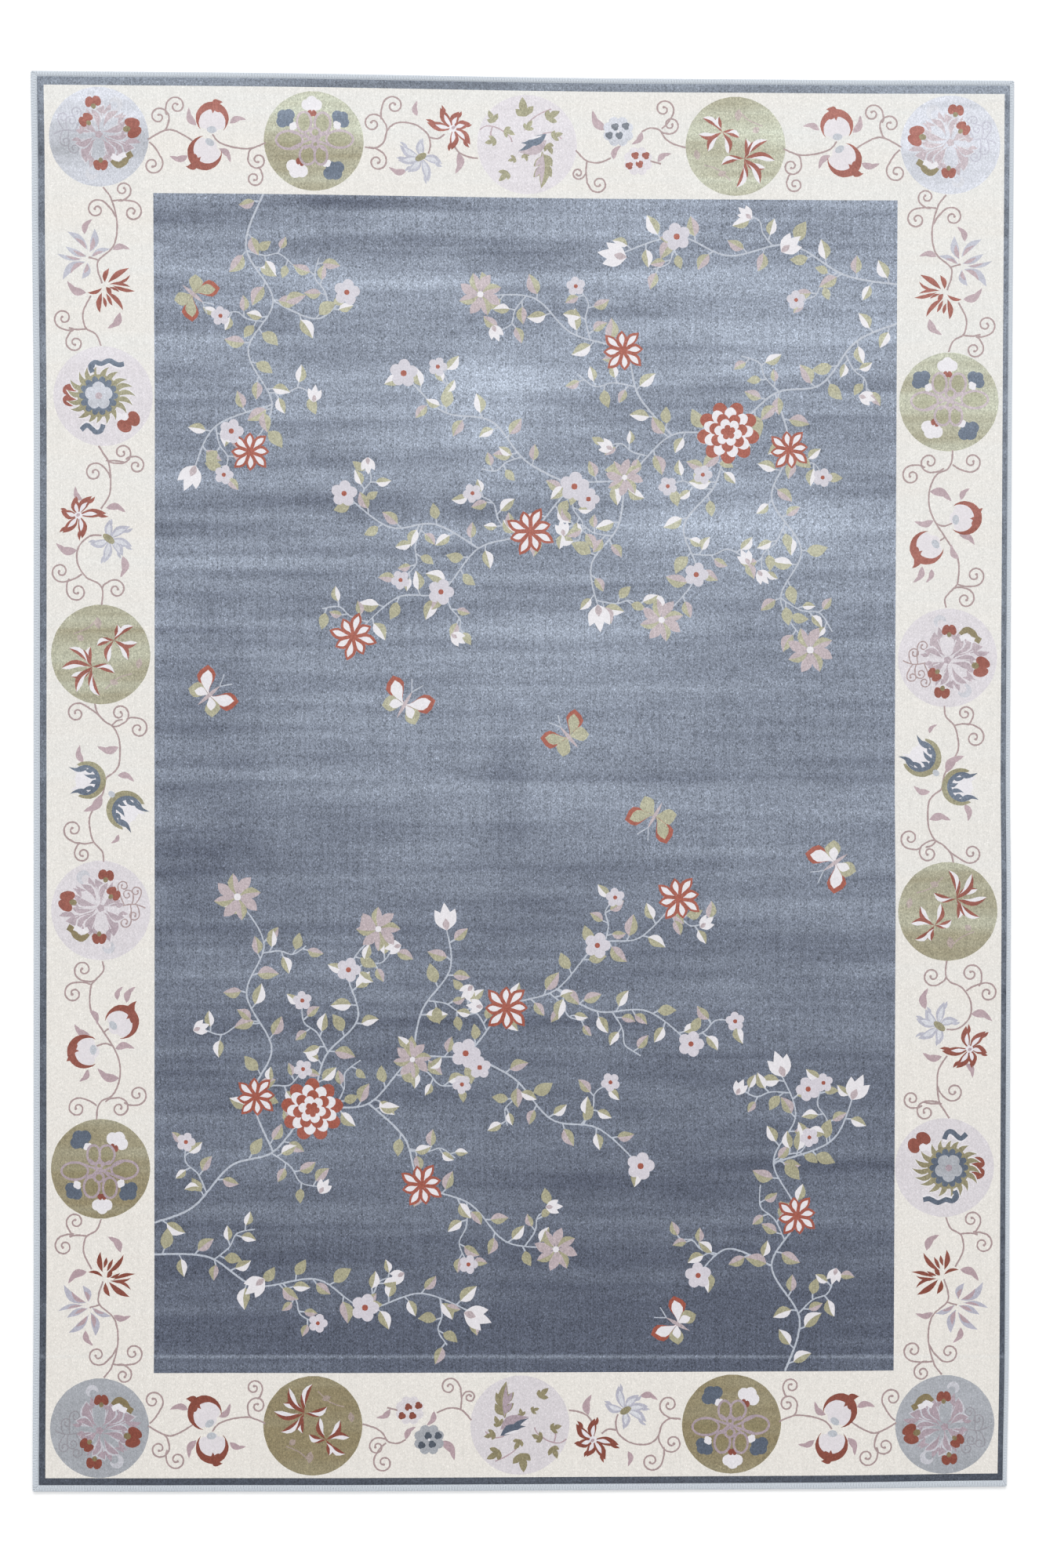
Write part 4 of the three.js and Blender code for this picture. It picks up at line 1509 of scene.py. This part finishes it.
def stripe_map(x, y, patch):
    """Where a place in one length of the stripe lies in the square map: bottom, top, left and right."""
    x0, y0, x1, y1 = inner_lines()
    if patch < 2:
        along = (x - x0) / (x1 - x0)
        low, high = (y0, BAND[1]) if patch == 0 else (BAND[3], y1)
        across = (y - low) / (high - low)
    else:
        along = (y - y0) / (y1 - y0)
        low, high = (x0, BAND[0]) if patch == 2 else (BAND[2], x1)
        across = (x - low) / (high - low)
    return TOP_SHARE * along, TOP_SHARE / 4 * (patch + 0.02 + 0.96 * across)


def make_field():
    inlay = Inlay(field_shapes(), "slate")
    inlay.fill(*FIELD, FIELD_TILE)
    return pile_piece("pile_field", inlay, field_map)


def make_border():
    inlay = Inlay(border_shapes(), "cream")
    for number, (x0, y0, x1, y1, _) in enumerate(BORDER_PATCHES):
        inlay.fill(x0, y0, x1, y1, BORDER_TILE, number)
    return pile_piece("pile_border", inlay, border_map)


def make_stripe():
    """The dark stripe round the border, with a row of corners where the pile starts to lean."""
    inlay = Inlay([], "stripe")
    x0, y0, x1, y1 = inner_lines()
    bx0, by0, bx1, by1 = BAND
    lean = 2.2
    rows = ((y0, y0 + lean, 0), (y0 + lean, by0, 0), (by1, y1 - lean, 1), (y1 - lean, y1, 1))
    columns = ((x0, x0 + lean, 2), (x0 + lean, bx0, 2), (bx1, x1 - lean, 3), (x1 - lean, x1, 3))
    for low, high, patch in rows:
        inlay.tile(x0, low, bx0, high, patch)
        inlay.fill(bx0, low, bx1, high, BORDER_TILE, patch)
        inlay.tile(bx1, low, x1, high, patch)
    for left, right, patch in columns:
        inlay.fill(left, by0, right, by1, BORDER_TILE, patch)
    return pile_piece("pile_stripe", inlay, stripe_map)


# Making the backing

# How far apart the stations along a side stand, in millimetres
SIDE_STATION = 38

# The backing's rim ends this far under the pile, in millimetres
RIM_CLEARANCE = 0.02


def rectangle_ring(insets, z):
    """Points round the rug at one height, inside the plain rectangle by a distance for each side."""
    half_width = RUG_WIDTH / 2
    half_length = RUG_LENGTH / 2
    corners = [
        (-half_width + insets["left"], -half_length + insets["bottom"]),
        (half_width - insets["right"], -half_length + insets["bottom"]),
        (half_width - insets["right"], half_length - insets["top"]),
        (-half_width + insets["left"], half_length - insets["top"]),
    ]
    lengths = [RUG_WIDTH, RUG_LENGTH, RUG_WIDTH, RUG_LENGTH]
    ring = []
    for (ax, ay), (bx, by), length in zip(corners, corners[1:] + corners[:1], lengths):
        steps = round(length / SIDE_STATION)
        ring += [on_rug(lerp(ax, bx, i / steps), lerp(ay, by, i / steps), z) for i in range(steps)]
    return ring


def closed_rings(bm, rings):
    """A closed shape with faces from each ring of places to the next one, and over its first and last ring."""
    made = [[bm.verts.new(place) for place in ring] for ring in rings]
    for low, high in zip(made, made[1:]):
        for i in range(len(low)):
            after = (i + 1) % len(low)
            bm.faces.new((low[i], low[after], high[after], high[i]))
    bm.faces.new(made[0][::-1])
    bm.faces.new(made[-1])


def make_backing():
    """The woven ground of the rug, with a thin rim that reaches into the sewn edges."""
    top = bpy.context.scene.rug_sizes.backing_top * 1000 - RIM_CLEARANCE
    body = {side: width + GAP for side, width in EDGE_WIDTHS.items()}
    rim = {side: RIM_INSET for side in EDGE_WIDTHS}
    bm = bmesh.new()
    levels = ((body, 0), (body, RIM_BOTTOM), (rim, RIM_BOTTOM), (rim, top))
    closed_rings(bm, [rectangle_ring(insets, z) for insets, z in levels])
    bmesh.ops.recalc_face_normals(bm, faces=bm.faces)
    return piece_from(bm, "woven_backing")


# Making the sewn edges

# The sides' neighbours before and after them, their lengths and how far out they lie
SIDES = {
    "bottom": {"before": "left", "after": "right", "length": RUG_WIDTH, "out": RUG_LENGTH / 2},
    "right": {"before": "bottom", "after": "top", "length": RUG_LENGTH, "out": RUG_WIDTH / 2},
    "top": {"before": "right", "after": "left", "length": RUG_WIDTH, "out": RUG_LENGTH / 2},
    "left": {"before": "top", "after": "bottom", "length": RUG_LENGTH, "out": RUG_WIDTH / 2},
}

# The section of the yarn's core: share of the edge's width and millimetres in from its outer line, and height
CORE_SECTION = [
    (1.0, 0, 0.3), (1.0, 0, 1.5), (0, 2.0, 1.5), (0, 2.0, 2.8), (1.0, 0, 2.8), (1.0, 0, 5.6), (0, 2.9, 5.6),
    (0, 1.4, 5.0), (0, 0.7, 3.8), (0, 0.7, 1.6), (0, 1.5, 0.3),
]

# How far the core is cut back at each mitre, in millimetres
CORE_BACK = 0.15

# The path of one stitch round the edge: share of the width, millimetres in, height
STITCH_PATH = [
    (1.0, -0.4, 5.0), (1.0, -0.9, 5.75), (0.62, 0, 5.95), (0.3, 0.4, 5.95), (0, 2.2, 5.75), (0, 0.9, 4.9),
    (0, 0.5, 3.4), (0, 0.6, 1.8), (0, 1.5, 0.5), (0, 3.2, 0.42),
]
STITCH_SIDES = 5

# The first and last stitch stand this far from a corner, in millimetres, and keep this much free beside them
STITCH_START = 2
STITCH_ROOM = 0.6

# Parts of a stitch farther in than this shrink with it at a mitre, and its ends are this share as thick
STITCH_BEND = 1.6
STITCH_END = 0.55

# How far the map runs along a stitch from one ring to the next, and from one stitch to the next
STRAND_STEP = 0.35
STRAND_SHIFT = 0.13


def side_place(side, along, inward):
    """A point on a side, in millimetres on the plain rectangle, its outer corners rounded."""
    length = SIDES[side]["length"]
    from_end = min(along, length - along)
    if from_end < CORNER_ROUND and inward < CORNER_ROUND:
        reach = math.hypot(CORNER_ROUND - from_end, CORNER_ROUND - inward)
        if reach > CORNER_ROUND:
            pull = CORNER_ROUND / reach
            shift = (CORNER_ROUND - (CORNER_ROUND - from_end) * pull) - from_end
            along += shift if along < length / 2 else -shift
            inward = CORNER_ROUND - (CORNER_ROUND - inward) * pull
    x, y = along - length / 2, inward - SIDES[side]["out"]
    turned = {"bottom": (x, y), "right": (-y, x), "top": (-x, -y), "left": (y, -x)}
    return turned[side]


def edge_core(bm, side):
    """The core of one sewn edge, mitred to meet its neighbours."""
    width, before, after = (EDGE_WIDTHS[name] for name in (side, SIDES[side]["before"], SIDES[side]["after"]))
    length = SIDES[side]["length"]
    stations = round(length / SIDE_STATION)
    rings = []
    for i in range(stations + 1):
        ring = []
        for share, millimetres, z in CORE_SECTION:
            inward = share * width + millimetres
            start = inward * before / width + CORE_BACK
            end = length - inward * after / width - CORE_BACK
            x, y = side_place(side, lerp(start, end, i / stations), inward)
            ring.append(on_rug(x, y, z))
        rings.append(ring)
    closed_rings(bm, rings)


def stitch(bm, strand, side, path, half_width, half_thick, number):
    """One loop of yarn along its path, as a closed tube."""
    rings = []
    last = len(path) - 1
    for i, place in enumerate(path):
        ahead = path[min(i + 1, last)] - path[max(i - 1, 0)]
        ahead.normalize()
        across = Vector((1, 0, 0)) - ahead * ahead.x
        across.normalize()
        out = ahead.cross(across)
        swell = STITCH_END if i in (0, last) else 1
        ring = []
        for k in range(STITCH_SIDES):
            angle = 2 * math.pi * k / STITCH_SIDES + math.pi / 2
            spot = (place + across * math.cos(angle) * half_width * swell
                    + out * math.sin(angle) * half_thick * swell)
            x, y = side_place(side, spot.x, spot.y)
            ring.append(bm.verts.new(on_rug(x, y, spot.z)))
        rings.append(ring)
    for step, (low, high) in enumerate(zip(rings, rings[1:])):
        for k in range(STITCH_SIDES):
            after = (k + 1) % STITCH_SIDES
            face = bm.faces.new((low[k], low[after], high[after], high[k]))
            face.smooth = True
            spans = ((step, k), (step, k + 1), (step + 1, k + 1), (step + 1, k))
            for loop, (run, turn) in zip(face.loops, spans):
                loop[strand].uv = (run * STRAND_STEP + number * STRAND_SHIFT, turn / STITCH_SIDES)
    bm.faces.new(rings[0][::-1])
    bm.faces.new(rings[-1])


def make_sewn_edge(side):
    """The core of one sewn edge with its stitches over it."""
    sizes = bpy.context.scene.rug_sizes
    width, before, after = (EDGE_WIDTHS[name] for name in (side, SIDES[side]["before"], SIDES[side]["after"]))
    length = SIDES[side]["length"]
    bm = bmesh.new()
    strand = bm.loops.layers.uv.new("Strand")
    edge_core(bm, side)
    run = length - 2 * STITCH_START
    stitches = round(run / (sizes.stitch_pitch * 1000))
    rng = random.Random(len(side) * 11)
    for number in range(stitches):
        middle = STITCH_START + (number + 0.5) * run / stitches
        fit = min(1, (middle - STITCH_ROOM) / before, (length - middle - STITCH_ROOM) / after)
        slant = sizes.stitch_slant * 1000 * rng.uniform(0.8, 1.2) * fit
        half_thick = sizes.stitch_thickness * 500 * rng.uniform(0.92, 1.08)
        path = []
        for share, millimetres, z in STITCH_PATH:
            shrinks = share or millimetres > STITCH_BEND
            inward = (share * width + millimetres) * (fit if shrinks else 1)
            path.append(Vector((middle + slant * (inward / width - 0.5), inward, z)))
        stitch(bm, strand, side, path, sizes.stitch_width * 500, half_thick, number)
    bmesh.ops.recalc_face_normals(bm, faces=bm.faces)
    return piece_from(bm, "stitched_edge_" + side)


# The add-on

def length_property(name, description, default, low, high):
    """A length in metres, given in millimetres."""
    return FloatProperty(
        name=name, description=description, default=default / 1000, min=low / 1000, max=high / 1000,
        unit="LENGTH", subtype="DISTANCE")


class RugSizes(bpy.types.PropertyGroup):
    """Sizes of the pile, the backing and the stitches of the sewn edges"""

    pile_top: length_property(
        "Pile height", "Height of the pile's tips above the floor", PILE_TOP, 4, 20)
    backing_top: length_property(
        "Backing height", "Height above the floor where the pile leaves the backing", BACKING_TOP, 2, 3.5)
    stitch_pitch: length_property(
        "Stitch pitch", "Distance from one stitch of the sewn edge to the next", 2.6, 1, 20)
    stitch_slant: length_property(
        "Stitch slant", "How far a stitch drifts along its side as it crosses the edge", 1.5, 0, 10)
    stitch_width: length_property(
        "Stitch width", "Width of one stitch's yarn along the side", 2.56, 0.5, 10)
    stitch_thickness: length_property(
        "Stitch thickness", "Thickness of one stitch's yarn", 0.84, 0.2, 3)


def yarn_property(yarn):
    """The colour property of one yarn, with its colour in the table as the default."""
    label = yarn.replace("_", " ")
    return FloatVectorProperty(
        name=label.capitalize(), description=f"Colour of the {label} yarn where its nap is dull",
        subtype="COLOR_GAMMA", size=3, min=0, max=1, default=from_255(YARNS[yarn][0]))


class RugYarns(bpy.types.PropertyGroup):
    """The colour of each yarn"""

    __annotations__ = {yarn: yarn_property(yarn) for yarn in YARNS}


class RugStage(bpy.types.PropertyGroup):
    """The floor, the lights and the camera"""

    floor_colour: FloatVectorProperty(
        name="Floor colour", description="Colour of the plain floor that the rug lies on",
        subtype="COLOR", size=3, min=0, max=1, default=(0.9, 0.9, 0.9))
    key_light: FloatProperty(
        name="Key light", description="Power of the soft light beyond the rug's upper end",
        default=750, min=0, unit="POWER")
    world_light: FloatProperty(
        name="World light", description="Strength of the even light all round", default=0.95, min=0)
    camera_height: FloatProperty(
        name="Camera height", description="Height of the camera above the pile", default=CAMERA_HEIGHT,
        min=0.5, unit="LENGTH", subtype="DISTANCE")


def finish_piece(piece, material, slot, *nodes):
    """Gives a piece its material and says what it stands for in the frame."""
    if not piece.data.polygons:
        raise RuntimeError(piece.name + " has no faces")
    piece.data.materials.append(material)
    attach(piece, "root")
    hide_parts(*nodes)


class RUG_OT_pile(bpy.types.Operator):
    """Make the pile with its pattern laid in"""

    bl_idname = "rug.pile"
    bl_label = "Make pile"

    def execute(self, context):
        material = pile_material()
        for make in (make_field, make_border, make_stripe):
            finish_piece(make(), material, "pile", "woven_body")
        return {"FINISHED"}


class RUG_OT_backing(bpy.types.Operator):
    """Make the woven backing"""

    bl_idname = "rug.backing"
    bl_label = "Make backing"

    def execute(self, context):
        finish_piece(make_backing(), backing_material(), "pile", "woven_body")
        return {"FINISHED"}


class RUG_OT_edges(bpy.types.Operator):
    """Make the yarn edges sewn round the four sides"""

    bl_idname = "rug.edges"
    bl_label = "Make sewn edges"

    def execute(self, context):
        material = edge_material()
        for side in SIDES:
            finish_piece(make_sewn_edge(side), material, "edge_yarn", "sewn_edge_" + side)
        return {"FINISHED"}


class RUG_OT_stage(bpy.types.Operator):
    """Make the floor, lights and camera"""

    bl_idname = "rug.stage"
    bl_label = "Make stage"

    def execute(self, context):
        scene = context.scene
        settings = scene.rug_stage
        bm = bmesh.new()
        bmesh.ops.create_grid(bm, x_segments=1, y_segments=1, size=FLOOR_REACH)
        floor = piece_from(bm, "floor")
        material, graph = new_material("Floor")
        graph.surface({"Base Color": (*settings.floor_colour, 1), "Roughness": 0.9, "Specular IOR Level": 0.1})
        floor.data.materials.append(material)

        world = bpy.data.worlds.new("Studio")
        world.use_nodes = True
        background = world.node_tree.nodes["Background"]
        background.inputs["Color"].default_value = (1, 1, 1, 1)
        background.inputs["Strength"].default_value = settings.world_light
        scene.world = world
        scene.view_settings.view_transform = "Standard"

        light = bpy.data.lights.new("Key", "AREA")
        light.shape = "RECTANGLE"
        light.size, light.size_y = LIGHT_SIZE
        light.energy = settings.key_light
        key = bpy.data.objects.new("Key", light)
        key.location = LIGHT_PLACE
        key.rotation_euler = (-key.location).to_track_quat("-Z", "Y").to_euler()
        scene.collection.objects.link(key)

        lens = bpy.data.cameras.new("Camera")
        lens.lens = CAMERA_LENS
        lens.sensor_width = CAMERA_SENSOR
        camera = bpy.data.objects.new("Camera", lens)
        camera.location = (*CAMERA_PLACE, settings.camera_height + scene.rug_sizes.pile_top)
        scene.collection.objects.link(camera)
        scene.camera = camera
        return {"FINISHED"}


OPERATORS = (RUG_OT_pile, RUG_OT_backing, RUG_OT_edges, RUG_OT_stage)


class RUG_PT_panel(bpy.types.Panel):
    """Sizes, yarn colours and the stage of the rug, with a button for each part of it"""

    bl_label = "Rug"
    bl_space_type = "VIEW_3D"
    bl_region_type = "UI"
    bl_category = "Rug"

    def draw(self, context):
        scene = context.scene
        for settings in (scene.rug_sizes, scene.rug_yarns, scene.rug_stage):
            box = self.layout.box()
            for name in type(settings).__annotations__:
                box.prop(settings, name)
        for operator in OPERATORS:
            self.layout.operator(operator.bl_idname)


CLASSES = (RugSizes, RugYarns, RugStage, *OPERATORS, RUG_PT_panel)


def register():
    for item in CLASSES:
        bpy.utils.register_class(item)
    bpy.types.Scene.rug_sizes = PointerProperty(type=RugSizes)
    bpy.types.Scene.rug_yarns = PointerProperty(type=RugYarns)
    bpy.types.Scene.rug_stage = PointerProperty(type=RugStage)


def unregister():
    del bpy.types.Scene.rug_stage
    del bpy.types.Scene.rug_yarns
    del bpy.types.Scene.rug_sizes
    for item in reversed(CLASSES):
        bpy.utils.unregister_class(item)


def main():
    register()
    bpy.ops.rug.stage()
    bpy.ops.rug.pile()
    bpy.ops.rug.backing()
    bpy.ops.rug.edges()


if __name__ == "__main__":
    main()
